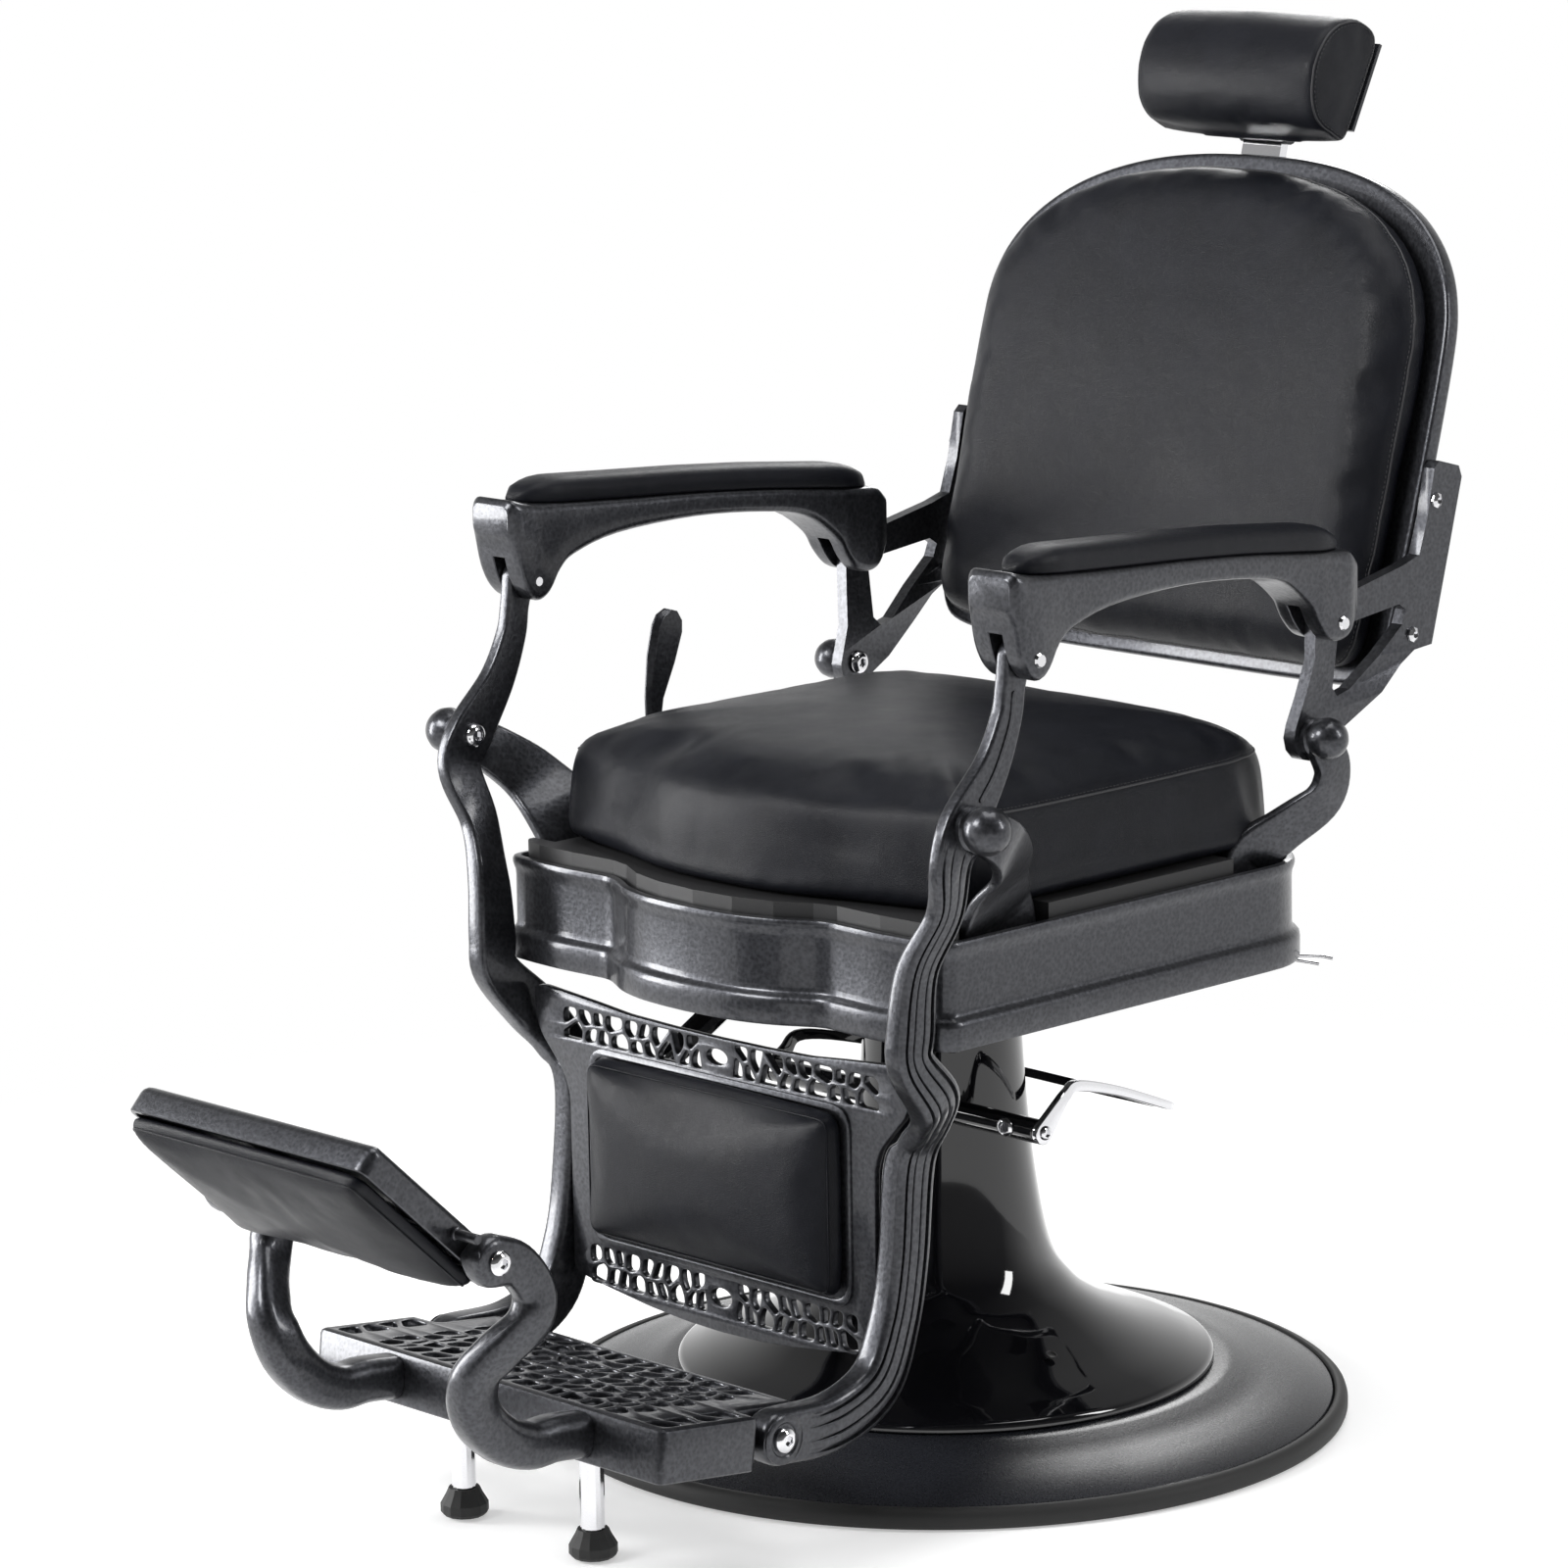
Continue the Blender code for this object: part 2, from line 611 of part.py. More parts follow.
# ---------------------------------------------------------------- posts and pivots
def build_posts():
    xs = LEG_X + LEG_T / 2 + GAP
    z = FRAME_Z + PLATE_T + GAP
    front = [(0.2395, -0.1845, z, 0.094, 0.014), (0.2395, -0.1845, 0.492, 0.094, 0.014),
             (0.2440, -0.1900, 0.505, 0.090, 0.014), (0.2620, -0.2020, 0.532, 0.072, 0.013),
             (0.2900, -0.2160, 0.560, 0.052, 0.013), (0.3090, -0.2420, 0.583, 0.042, 0.012),
             (xs + 0.0070, F_Y + 0.004, F_Z - 0.001, 0.036, 0.0136)]
    bore = rod((xs - 0.03, F_Y, F_Z), (xs + BALL_R + 0.005, F_Y, F_Z), BOLT_R + 0.0003)
    ball = globe((xs + BALL_R, F_Y, F_Z), BALL_R)
    both("front_post", add("front_post", *bar(front, round0=False), hammer()), [bore], [ball])
    xr = BACK_X + BACK_T / 2 + GAP
    rear = [(0.2330, 0.1240, z, 0.052, 0.014), (0.2330, 0.1240, 0.486, 0.052, 0.014),
            (0.2360, 0.1300, 0.503, 0.050, 0.014), (0.2520, 0.1560, 0.523, 0.044, 0.013),
            (0.2760, 0.1800, 0.549, 0.042, 0.013), (xr + 0.0076, 0.1840, 0.576, 0.038, 0.0126),
            (xr + 0.0076, R_Y + 0.006, R_Z - 0.006, 0.034, 0.0126)]
    bore = rod((xr - 0.03, R_Y, R_Z), (xr + REAR_BALL, R_Y, R_Z), BOLT_R + 0.0003)
    ball = globe((xr + REAR_BALL, R_Y, R_Z), REAR_BALL)
    both("rear_post", add("rear_post", *bar(rear, round0=False), hammer()), [bore], [ball])


def bolt(name, shank, reach, head, thick, at, axis):
    """Button head with a round driver well; the shank runs back down the axis by reach."""
    well = head * 0.45
    prof = [(0, -reach), (shank, -reach), (shank, 0), (head, 0), (head * 0.97, thick * 0.45),
            (well, thick), (well, thick * 0.45), (0, thick * 0.45)]
    return turned(name, prof, 8, at, axis, chrome())


def build_bolts():
    for tag, s in (("L", 1), ("R", -1)):
        x = LEG_X - LEG_T / 2 - GAP
        bolt(f"front_pivot_bolt_{tag}", BOLT_R, 0.030, 0.0105, 0.006, (s * x, F_Y, F_Z), (-s, 0, 0))
        x = BACK_X - BACK_T / 2 - GAP
        bolt(f"rear_pivot_bolt_{tag}", BOLT_R, 0.027, 0.0105, 0.006, (s * x, R_Y, R_Z), (-s, 0, 0))
        x = FOOT_END_X + 0.0130 + GAP
        bolt(f"foot_plate_bolt_{tag}", BOLT_R, 0.042, 0.0110, 0.006, (s * x, PLATE_Y, PLATE_Z), (s, 0, 0))
        x = ARM_BOSS_X + ARM_BOSS_T / 2 + GAP
        bolt(f"footrest_bolt_{tag}", BOLT_R, 0.041, 0.0105, 0.0055, (s * x, TRAY_Y, TRAY_Z), (s, 0, 0))
        x = BACK_XA + BACK_T / 2 + GAP
        for i, v in enumerate(BACK_SCREWS):
            q = back_place(BACK_HALF, v, SHELL_MID)
            at = (s * x, q[1], q[2])
            bolt(f"back_screw_{i + 1}_{tag}", SCREW_R, 0.030, 0.0068, 0.0040, at, (s, 0, 0))


# ---------------------------------------------------------------- leg levers and panel
def build_leg_levers():
    rows = [(LEG_X, B_Y, B_Z, 0.032, LEG_T), (LEG_X, -0.2190, 0.705, 0.026, LEG_T),
            (LEG_X, -0.2240, 0.680, 0.027, LEG_T), (LEG_X, -0.2420, 0.642, 0.033, LEG_T),
            (LEG_X, F_Y, F_Z, 0.046, LEG_T), (LEG_X - 0.0005, -0.2870, 0.572, 0.041, 0.0135),
            (0.2790, -0.2800, 0.527, 0.034, 0.0170), (0.2575, -0.2895, 0.480, 0.036, 0.0200),
            (0.2520, -0.2920, 0.430, 0.041, 0.0210), (0.2500, -0.2905, 0.402, 0.039, 0.0220),
            (0.2420, -0.2560, 0.362, 0.046, 0.0240), (0.2190, -0.2440, 0.332, 0.044, 0.0250),
            (0.2000, -0.2430, 0.303, 0.042, 0.0250), (0.1985, -0.2500, 0.225, 0.041, 0.0250),
            (0.1975, -0.2610, 0.170, 0.042, 0.0250), (0.1965, -0.2840, 0.124, 0.046, 0.0250),
            (FOOT_END_X, -0.3350, 0.1035, 0.047, 0.0255), (FOOT_END_X, PLATE_Y, PLATE_Z, 0.045, 0.0260)]
    eyes = ((LEG_X, F_Y, F_Z, BOLT_R + 0.0005, 12), (LEG_X, B_Y, B_Z, PIN_R + PIN_SLACK, 16),
            (FOOT_END_X, PLATE_Y, PLATE_Z, BOLT_R + 0.0005, 12))
    holes = [rod((x - 0.02, y, z), (x + 0.02, y, z), r, n) for x, y, z, r, n in eyes]
    both("leg_lever", add("leg_lever", *bar(rows, corner=0.30), hammer()), holes)


def band_holes(z0, z1, half):
    """Generic openwork band: ovals and rounded triangles, mirrored about the middle."""
    h = z1 - z0
    out = [oval(0, (z0 + z1) / 2, 0.013, h * 0.26, 0, 8)]
    pitch = 0.0330
    for k in range(1, int(half / pitch) + 1):
        x = k * pitch
        z = z0 + h * (0.60 if k % 2 else 0.40)
        for s in (1, -1):
            lean = 90 - s * (62 if k % 2 else 118)
            if k % 3 == 0:
                out.append(wedge(s * x, z, 0.0100, 90 + lean))
            else:
                out.append(oval(s * x, z, 0.0120, 0.0056, lean, 6))
    return out


def panel_place(u, v, w):
    return (u, PANEL_Y + w, v)


def build_panel():
    half = 0.1840
    side = [(half, 0.1420), (half, 0.2980), (0.2030, 0.3300), (0.2250, 0.3600), (0.2270, 0.3880)]
    right = [(0.0, 0.1240), (0.09, 0.1290)] + side + [(0.11, 0.3810), (0.0, 0.3790)]
    poly = right + [(-x, z) for x, z in reversed(right[1:-1])]
    holes = band_holes(0.345, 0.374, 0.190) + band_holes(0.134, 0.172, 0.165)
    panel = sheet("leg_panel", poly, holes, 0.0, PANEL_T, panel_place, hammer())
    lugs = []
    rear = PANEL_Y + PANEL_T
    for x in (STRUT_X - LUG_X, STRUT_X + LUG_X):
        lugs.append(block((x - LUG_T / 2, rear - 0.002, STRUT_FZ - 0.011),
                          (x + LUG_T / 2, STRUT_FY + 0.008, STRUT_FZ + 0.011)))
    lugs.append(rod((STRUT_X - LUG_X, STRUT_FY, STRUT_FZ), (STRUT_X + LUG_X, STRUT_FY, STRUT_FZ), STRUT_PIN))
    join(panel, lugs)
    rims = ((0.002, 0.0), (0.0, 0.010), (0.012, 0.0250))
    pillow("calf_pad", round_rect(0, 0.262, 0.150, 0.080, 0.016), rims, 0.008,
           lambda u, v, h: (u, PANEL_Y - GAP - h, v), levels=(0.5,))


# ---------------------------------------------------------------- foot plate
def plate_place(u, v, w):
    """u across, v ahead of the hinge, w above the hinge line, tilted front up."""
    c, s = math.cos(PLATE_TILT), math.sin(PLATE_TILT)
    return (u, PLATE_Y - v * c + w * s, PLATE_Z + v * s + w * c)


def plate_outline(d=0.0):
    x1, x0 = PLATE_X - d, PLATE_XIN - d
    v0, v1, vs = -PLATE_BACK + d, PLATE_FRONT - d, 0.027 + d
    right = [(x0, v0), (x0, vs), (x1, vs + 0.004), (x1, v1 - 0.010), (x1 - 0.010, v1)]
    return right + [(-u, v) for u, v in reversed(right)]


def plate_holes():
    """Generic leaf and triangle openings of the step, in staggered rows."""
    out = []
    for row, v in enumerate((-0.016, 0.020, 0.058, 0.096)):
        pitch = 0.0500
        lim = (PLATE_XIN if v < 0.030 else PLATE_X) - 0.022
        u = pitch * (0.5 if row % 2 else 1.0)
        if row % 2 == 0:
            out.append(oval(0, v, 0.0150, 0.0095, 0, 6))
        k = 0
        while u < lim:
            for s in (1, -1):
                lean = (35 if (k + row) % 2 else -35) * s
                if (k + row) % 3 == 2:
                    out.append(wedge(s * u, v, 0.0130, 90 + lean))
                else:
                    out.append(oval(s * u, v, 0.0175, 0.0080, lean, 6))
            u += pitch
            k += 1
    return out


def plate_sheet(name, outline, holes, w0, w1, mat=None):
    """Sheet drawn flat in the plate's own frame and tilted as an object."""
    ob = sheet(name, outline, holes, w0, w1, lambda u, v, w: (u, -v, w), mat)
    tilt = Matrix.Rotation(-PLATE_TILT, 4, "X")
    ob.matrix_world = Matrix.Translation((0, PLATE_Y, PLATE_Z)) @ tilt
    return ob


def build_foot_plate():
    up = PLATE_UP
    plate = plate_sheet("foot_plate", plate_outline(), [], -PLATE_DOWN, up, hammer())
    openings = plate_holes()
    cut(plate, [plate_sheet("hollow", plate_outline(0.0070), [], -PLATE_DOWN - 0.01, up - 0.0055),
                plate_sheet("openings", openings[0], openings[1:], 0.0, up + 0.01)])
    extra = []
    for s in (1, -1):
        rib = rect(s * STUB_X, 0.1220, 0.0160, 0.0120)
        extra.append(plate_sheet("root", rib, [], -0.0205, up - 0.0030))
        pad = oval(s * FOOT_X, 0.0905, 0.0200, 0.0200, 0, 8)
        extra.append(plate_sheet("foot_boss", pad, [], -0.0150, up - 0.0032))
    join(plate, extra)
    holes = []
    for s in (1, -1):
        holes.append(rod((s * 0.155, PLATE_Y, PLATE_Z), (s * 0.19, PLATE_Y, PLATE_Z), BOLT_R + 0.0003))
        holes.append(rod((s * FOOT_X, FOOT_Y, 0.05), (s * FOOT_X, FOOT_Y, LEG_TOP + GAP), TUBE_R + GAP))
        holes.append(rod(plate_place(s * STUB_X, PLATE_FRONT + 0.010, 0),
                         plate_place(s * STUB_X, PLATE_FRONT - 0.024, 0), 0.0090 + GAP, 12))
    cut(plate, holes)
    shoe = TUBE_R + GAP
    rubber_foot = [(0, 0.0015), (0.0170, 0.0015), (0.0200, 0.0045), (0.0200, 0.0120), (0.0150, 0.0205),
                   (0.0130, 0.0250), (shoe, 0.0250), (shoe, 0.0130), (0, 0.0130)]
    tube = [(0, 0.0130 + GAP), (TUBE_R, 0.0130 + GAP), (TUBE_R, LEG_TOP), (0, LEG_TOP)]
    for tag, s in (("L", 1), ("R", -1)):
        at = (s * FOOT_X, FOOT_Y, 0)
        turned(f"foot_leg_{tag}", tube, 14, at, (0, 0, 1), chrome())
        turned(f"foot_rubber_{tag}", rubber_foot, 14, at, (0, 0, 1), rubber())


def build_step_arms():
    root = plate_place(STUB_X, PLATE_FRONT + GAP, 0)
    mid = plate_place(STUB_X, PLATE_FRONT + 0.030, 0.0)
    rows = [(ARM_BOSS_X, TRAY_Y, TRAY_Z, 0.042, ARM_BOSS_T), (ARM_BOSS_X, -0.6370, 0.2930, 0.036, 0.0240),
            (ARM_BOSS_X, -0.6180, 0.2680, 0.034, 0.0260), (0.1580, -0.6220, 0.2440, 0.035, 0.0290),
            (0.1400, -0.6400, 0.2190, 0.036, 0.0320), (0.1240, -0.6510, 0.1950, 0.038, 0.0340),
            (0.1165, -0.6440, 0.1650, 0.039, 0.0350), (STUB_X, -0.6210, 0.1400, 0.039, 0.0350),
            (STUB_X, -0.5930, 0.1270, 0.038, 0.0350), (*mid, 0.037, 0.0350), (*root, 0.037, 0.0350)]
    hole = rod((ARM_BOSS_X - 0.03, TRAY_Y, TRAY_Z), (ARM_BOSS_X + 0.03, TRAY_Y, TRAY_Z), BOLT_R + 0.0005)
    tenon = rod(plate_place(STUB_X, PLATE_FRONT + 0.012, 0), plate_place(STUB_X, PLATE_FRONT - 0.0235, 0),
                0.0090, 12)
    both("step_arm", add("step_arm", *bar(rows, corner=0.36, round1=False), hammer()), [hole], [tenon])


def tray_place(u, v, w):
    """u across, v out from the hinge along the tray, w towards the metal back."""
    c, s = math.cos(TRAY_ANG), math.sin(TRAY_ANG)
    return (u, TRAY_Y + v * c + w * s, TRAY_Z + v * s - w * c)


def build_footrest():
    def outline(d):
        x, v0, v1 = TRAY_X - d, TRAY_V0 + d, TRAY_V1 - d
        return [(-x, v0), (x, v0), (x, v1 - 0.012), (x - 0.006, v1), (-x + 0.006, v1), (-x, v1 - 0.012)]
    tray = sheet("footrest_tray", outline(0), [], 0.0100, 0.0145, tray_place, hammer())
    extra = [sheet("tray_wall", outline(0.0004), [outline(0.0055)], -0.0110, 0.0125, tray_place)]
    pin = tray_place(0, 0.0310, 0.0025)
    holes = []
    for s in (1, -1):
        x0, x1 = sorted((s * (TRAY_X - 0.0035), s * (TRAY_X - 0.0185)))
        extra.append(rod((x0, TRAY_Y, TRAY_Z), (x1, TRAY_Y, TRAY_Z), 0.0095, 14))
        extra.append(rod((s * (TRAY_X - 0.003), *pin[1:]), (s * (TRAY_X + 0.0265), *pin[1:]), 0.0042))
        holes.append(rod((s * (TRAY_X - 0.016), TRAY_Y, TRAY_Z), (s * (TRAY_X + 0.02), TRAY_Y, TRAY_Z),
                         BOLT_R + 0.0003))
    join(tray, extra)
    cut(tray, holes)
    # the crowned pad covers the mouth of the tray
    mid = (TRAY_V0 + TRAY_V1) / 2
    outline = round_rect(0, mid, TRAY_X - 0.0015, (TRAY_V1 - TRAY_V0) / 2 - 0.001, 0.012)
    plug = ((0.80, -0.0208), (0.80, -0.0040), (0.90, 0.0006))
    pillow("footrest_pad", outline, ((0.001, 0.0), (0.0, 0.010), (0.014, 0.0255)), 0.013,
           lambda u, v, h: tray_place(u, v, -0.0110 - GAP - h), levels=(0.5,), back=plug)


# ---------------------------------------------------------------- back
def back_place(u, v, w):
    """u across, v up the back, w forward of the rear face; the back is hollowed in plan."""
    c, s = math.cos(BACK_TILT), math.sin(BACK_TILT)
    w = w - BACK_SAG * (1 - (u / BACK_HALF) ** 2)
    return (u, BACK_Y0 + v * s - w * c, BACK_Z0 + v * c + w * s)


def back_outline(half, low, top, n=5):
    """Round-topped outline, counter-clockwise in (u, v)."""
    shoulder = top - 0.170
    pts = [(0.0, low), (half * 0.45, low), (half * 0.86, low + 0.004), (half - 0.012, low + 0.022),
           (half - 0.006, low + 0.07), (half, low + 0.17), (half, shoulder)]
    for i in range(1, n):
        a = math.pi / 2 * i / n
        u = half * math.cos(a) ** ROUND_TOP
        pts.append((u, shoulder + (top - shoulder) * math.sin(a) ** ROUND_TOP))
    pts.append((0.0, top))
    return pts + [(-u, v) for u, v in reversed(pts[1:-1])]


def build_back():
    out = back_outline(BACK_HALF, 0.0, BACK_H)
    cy = sum(p[1] for p in out) / len(out)

    def ring(d, k, h):
        return [(u * k, cy + (v - cy) * k, h) for u, v in inset(out, d)]
    rings = [ring(0.010, 0.33, 0.0), ring(0.010, 0.66, 0.0), ring(0.010, 1, 0.0), ring(0.002, 1, 0.003),
             ring(0.0, 1, 0.008), ring(0.0, 1, SHELL_T - 0.002), ring(0.002, 1, SHELL_T),
             ring(0.002, 0.66, SHELL_T), ring(0.002, 0.33, SHELL_T)]
    verts, faces = loft(rings)
    shell = add("back_shell", [back_place(*v) for v in verts], faces, hammer(), tri=True)
    axis = Vector((0, math.sin(BACK_TILT), math.cos(BACK_TILT)))
    top = Vector(back_place(0, BACK_H, SHELL_MID))
    holes = [beam(top - axis * (STEM_IN + 0.007), axis, 0.165, STEM_W + 0.0015, STEM_T + 0.0010)]
    for v in BACK_SCREWS:
        for s in (1, -1):
            q = back_place(BACK_HALF, v, SHELL_MID)
            x0, x1 = s * (BACK_HALF + 0.01), s * (BACK_HALF - 0.022)
            holes.append(rod((x0, *q[1:]), (x1, *q[1:]), SCREW_R + 0.0003, 8))
    cut(shell, holes)
    o = back_outline(BACK_HALF - 0.010, 0.004, BACK_H - 0.008)
    rims = [(0.003, 0.0), (0.0, 0.014), (0.018, 0.0340)]
    pillow("back_cushion", o, rims, 0.012, lambda u, v, h: back_place(u, v, SHELL_T + PAD_GAP + h),
           levels=(0.66, 0.33), back=((0.33, 0.0), (0.66, 0.0)))


def lever_x(y, z):
    """Mid plane of the back lever, which steps outwards above and behind the pivot."""
    t = min(max((z - R_Z - 0.022) / (A_Z - R_Z - 0.052), 0.0), 1.0)
    if y > 0.25:
        t = 1.0
    elif y > 0.215:
        t = max(t, (y - 0.215) / 0.035)
    return BACK_X + (BACK_XA - BACK_X) * t


def arc(cy, cz, r, degs):
    return [(cy + r * math.cos(math.radians(d)), cz + r * math.sin(math.radians(d))) for d in degs]


def build_back_levers():
    poly = arc(R_Y, R_Z, 0.0215, (150, 180, 210, 240, 270, 300, 325))
    poly += [(0.206, 0.6065), (0.248, 0.6330), (0.272, 0.6540), (0.290, 0.6640), (0.3130, 0.6660),
             (0.3350, 0.7440), (0.3520, 0.8060), (0.3480, 0.8160), (0.3220, 0.8230), (0.3155, 0.8170),
             (0.3065, 0.7760), (0.2960, 0.7450), (0.2740, 0.7385), (0.2050, 0.7245)]
    poly += arc(A_Y, A_Z, 0.0150, (75, 105, 135, 165, 195)) + [(0.1615, 0.672), (0.1560, 0.640)]
    window = [(0.1900, 0.6900), (0.2010, 0.6980), (0.2700, 0.7060), (0.2790, 0.7000), (0.2740, 0.6880),
              (0.2450, 0.6650), (0.2130, 0.6400), (0.1975, 0.6360), (0.1900, 0.6440)]
    holes = [window, oval(R_Y, R_Z, BOLT_R + 0.0005, BOLT_R + 0.0005, 0, 12),
             oval(A_Y, A_Z, PIN_R + 0.0004, PIN_R + 0.0004, 0, 12)]
    for v in BACK_SCREWS:
        q = back_place(BACK_HALF, v, SHELL_MID)
        holes.append(oval(q[1], q[2], SCREW_R + 0.0004, SCREW_R + 0.0004, 0, 8))
    both("back_lever", sheet("back_lever", poly, holes, -BACK_T / 2, BACK_T / 2,
                             lambda u, v, w: (lever_x(u, v) + w, u, v), hammer()))


# ---------------------------------------------------------------- armrests
ARM = ((-0.2430, 0.7950, 0.7700, 0.046), (-0.2385, 0.8000, 0.7600, 0.052), (-0.2320, 0.7985, 0.7350, 0.055),
       (-0.2240, 0.7965, 0.7190, 0.055), (-0.2120, 0.7945, 0.7105, 0.055), (-0.2000, 0.7935, 0.7160, 0.054),
       (-0.1880, 0.7930, 0.7330, 0.053), (-0.1700, 0.7920, 0.7455, 0.052), (-0.1200, 0.7890, 0.7580, 0.051),
       (-0.0300, 0.7840, 0.7625, 0.050), (0.0500, 0.7780, 0.7575, 0.050), (0.1000, 0.7730, 0.7480, 0.050),
       (0.1350, 0.7695, 0.7250, 0.049), (0.1480, 0.7680, 0.7060, 0.049), (0.1600, 0.7670, 0.6930, 0.048),
       (0.1750, 0.7655, 0.6885, 0.048), (0.1880, 0.7640, 0.6925, 0.048), (0.1985, 0.7560, 0.7100, 0.043))


def arm_x(y):
    t = (y - B_Y) / (A_Y - B_Y)
    return LEG_X + (BACK_XA - LEG_X) * t


def arm_top(y):
    for (y0, z0, _, _), (y1, z1, _, _) in zip(ARM[1:], ARM[2:]):
        if y0 <= y <= y1:
            return z0 + (z1 - z0) * (y - y0) / (y1 - y0)
    return ARM[-2][1]


def build_armrests():
    rings = []
    for y, zt, zb, w in ARM:
        c = min(0.0065, (zt - zb) * 0.25)
        rings.append([(arm_x(y) + u, y, (zt + zb) / 2 + v) for u, v in section(w, zt - zb, c)])
    front, rear = LEG_T / 2 + 0.0008, BACK_T / 2 + 0.0008
    holes = [block((LEG_X - front, -0.262, 0.70), (LEG_X + front, -0.178, 0.7490)),
             block((BACK_XA - rear, 0.139, 0.66), (BACK_XA + rear, 0.25, 0.7400)),
             rod((LEG_X - 0.035, B_Y, B_Z), (LEG_X + 0.035, B_Y, B_Z), PIN_R + 0.0003, 12),
             rod((BACK_XA - 0.03, A_Y, A_Z), (BACK_XA + 0.03, A_Y, A_Z), PIN_R + 0.0003, 12)]
    both("armrest", add("armrest", *loft(rings), hammer()), holes)
    tip, end = -0.2200, 0.1860
    rings = []
    swell = ((0, 0.013, 0.008), (0.05, 0.0195, 0.0125), (0.20, 0.0222, 0.0185), (0.40, 0.0220, 0.0205),
             (0.60, 0.0214, 0.0195), (0.80, 0.0204, 0.0165), (0.94, 0.0185, 0.0125), (1, 0.0125, 0.008))
    for f, w, h in swell:
        y = tip + (end - tip) * f
        x, z = arm_x(y), arm_top(y) + PAD_GAP
        prof = [(-w, 0), (-w, h * 0.6), (-w * 0.55, h), (w * 0.55, h), (w, h * 0.6), (w, 0)]
        rings.append([(x + a, y, z + b) for a, b in prof])
    both("arm_pad", soft(add("arm_pad", *loft(rings), leather())))
    pins = (("arm_front_pin", B_Y, B_Z, LEG_X, 0.0555), ("arm_rear_pin", A_Y, A_Z, BACK_XA, 0.0485))
    for name, y, z, xc, w in pins:
        h = w / 2
        prof = [(0, -h), (PIN_R, -h), (PIN_R, h + GAP), (0.0062, h + GAP), (0.0050, h + 0.0024),
                (0, h + 0.0028)]
        for tag, s in (("L", 1), ("R", -1)):
            turned(f"{name}_{tag}", prof, 10, (s * xc, y, z), (s, 0, 0), chrome())


# ---------------------------------------------------------------- headrest
def head_frame():
    """Stem axis, hinge point and the headrest's forward and up directions."""
    d = Vector((0, math.sin(BACK_TILT), math.cos(BACK_TILT)))
    foot = Vector(back_place(0, BACK_H, SHELL_MID)) - d * STEM_IN
    hinge = foot + d * (STEM_LEN + 0.006)
    up = Vector((0, math.sin(HEAD_LEAN), math.cos(HEAD_LEAN)))
    fwd = Vector((0, -math.cos(HEAD_LEAN), math.sin(HEAD_LEAN)))
    return d, foot, hinge, up, fwd


def build_headrest():
    d, foot, hinge, up, fwd = head_frame()
    across = Vector((1, 0, 0))
    stem = beam(foot, d, STEM_LEN, STEM_W, STEM_T, "headrest_stem", chrome(), "part")
    join(stem, [rod(hinge - across * STEM_W / 2, hinge + across * STEM_W / 2, 0.0080, 16)])
    cut(stem, [rod(hinge - across * 0.04, hinge + across * 0.04, HEAD_PIN + 0.0005)])
    # end profile of the pillow: flat leaning back, round front, in (forward, up)
    prof = [(0.004, -0.004), (0.038, -0.003), (0.062, 0.018), (0.0695, 0.054), (0.053, 0.090), (0.024, 0.1025),
            (0.000, 0.098), (-0.001, 0.070), (-0.001, 0.030)]
    fc = sum(a for a, b in prof) / len(prof)
    uc = sum(b for a, b in prof) / len(prof)
    rings = []
    for x, k in ((-1.0, 0.66), (-1.0, 0.97), (0.0, 1.03), (1.0, 0.97), (1.0, 0.66)):
        ring = []
        for a, b in prof:
            q = HEAD_AT + fwd * (fc + (a - fc) * k) + up * (uc + (b - uc) * k)
            ring.append((x * HEAD_HALF, q.y, q.z))
        rings.append(ring)
    soft(add("headrest_cushion", *loft(rings), leather()))
    plate = HEAD_AT + up * 0.050 - fwd * 0.0036
    frame = beam(plate - up * 0.040, up, 0.082, 2 * HEAD_HALF, 0.0035, "headrest_bracket", satin(), "part")
    extra = []
    tab = plate - up * 0.026 - fwd * 0.0005
    for s in (1, -1):
        x0, x1 = sorted((s * (STEM_W / 2 + 0.0007), s * (STEM_W / 2 + 0.0050)))
        ear = arc(hinge.y, hinge.z, 0.0085, range(0, 360, 30))
        extra.append(sheet("ear_eye", ear, [], x0, x1, lambda u, v, w: (w, u, v)))
        t = (tab - hinge).normalized()
        n = Vector((0, -t.z, t.y)) * 0.0080
        arm = [hinge + n, hinge - n, tab + up * 0.012, tab - up * 0.012]
        extra.append(sheet("ear_arm", [(p.y, p.z) for p in arm], [], x0 + 0.0002, x1 - 0.0002,
                           lambda u, v, w: (w, u, v)))
    extra.append(rod(hinge - across * (STEM_W / 2 + 0.003), hinge + across * (STEM_W / 2 + 0.003), HEAD_PIN))
    join(frame, extra)


# ---------------------------------------------------------------- recline handle and strut
def build_handle():
    x = -(SEAT_X + 0.0175)
    y, z = HANDLE_Y, HANDLE_Z
    rows = [(x, y, z, 0.026, 0.008), (x, y - 0.004, z + 0.024, 0.015, 0.008),
            (x, y - 0.009, z + 0.069, 0.014, 0.008), (x - 0.001, y - 0.013, z + 0.114, 0.016, 0.009),
            (x - 0.002, y - 0.010, z + 0.144, 0.022, 0.010), (x - 0.003, y, z + 0.177, 0.034, 0.011),
            (x - 0.003, y + 0.008, z + 0.203, 0.037, 0.011)]
    ob = add("recline_handle", *bar(rows, corner=0.42), hammer())
    join(ob, [rod((x + 0.002, y, z), (x + 0.026, y, z), HANDLE_R)])


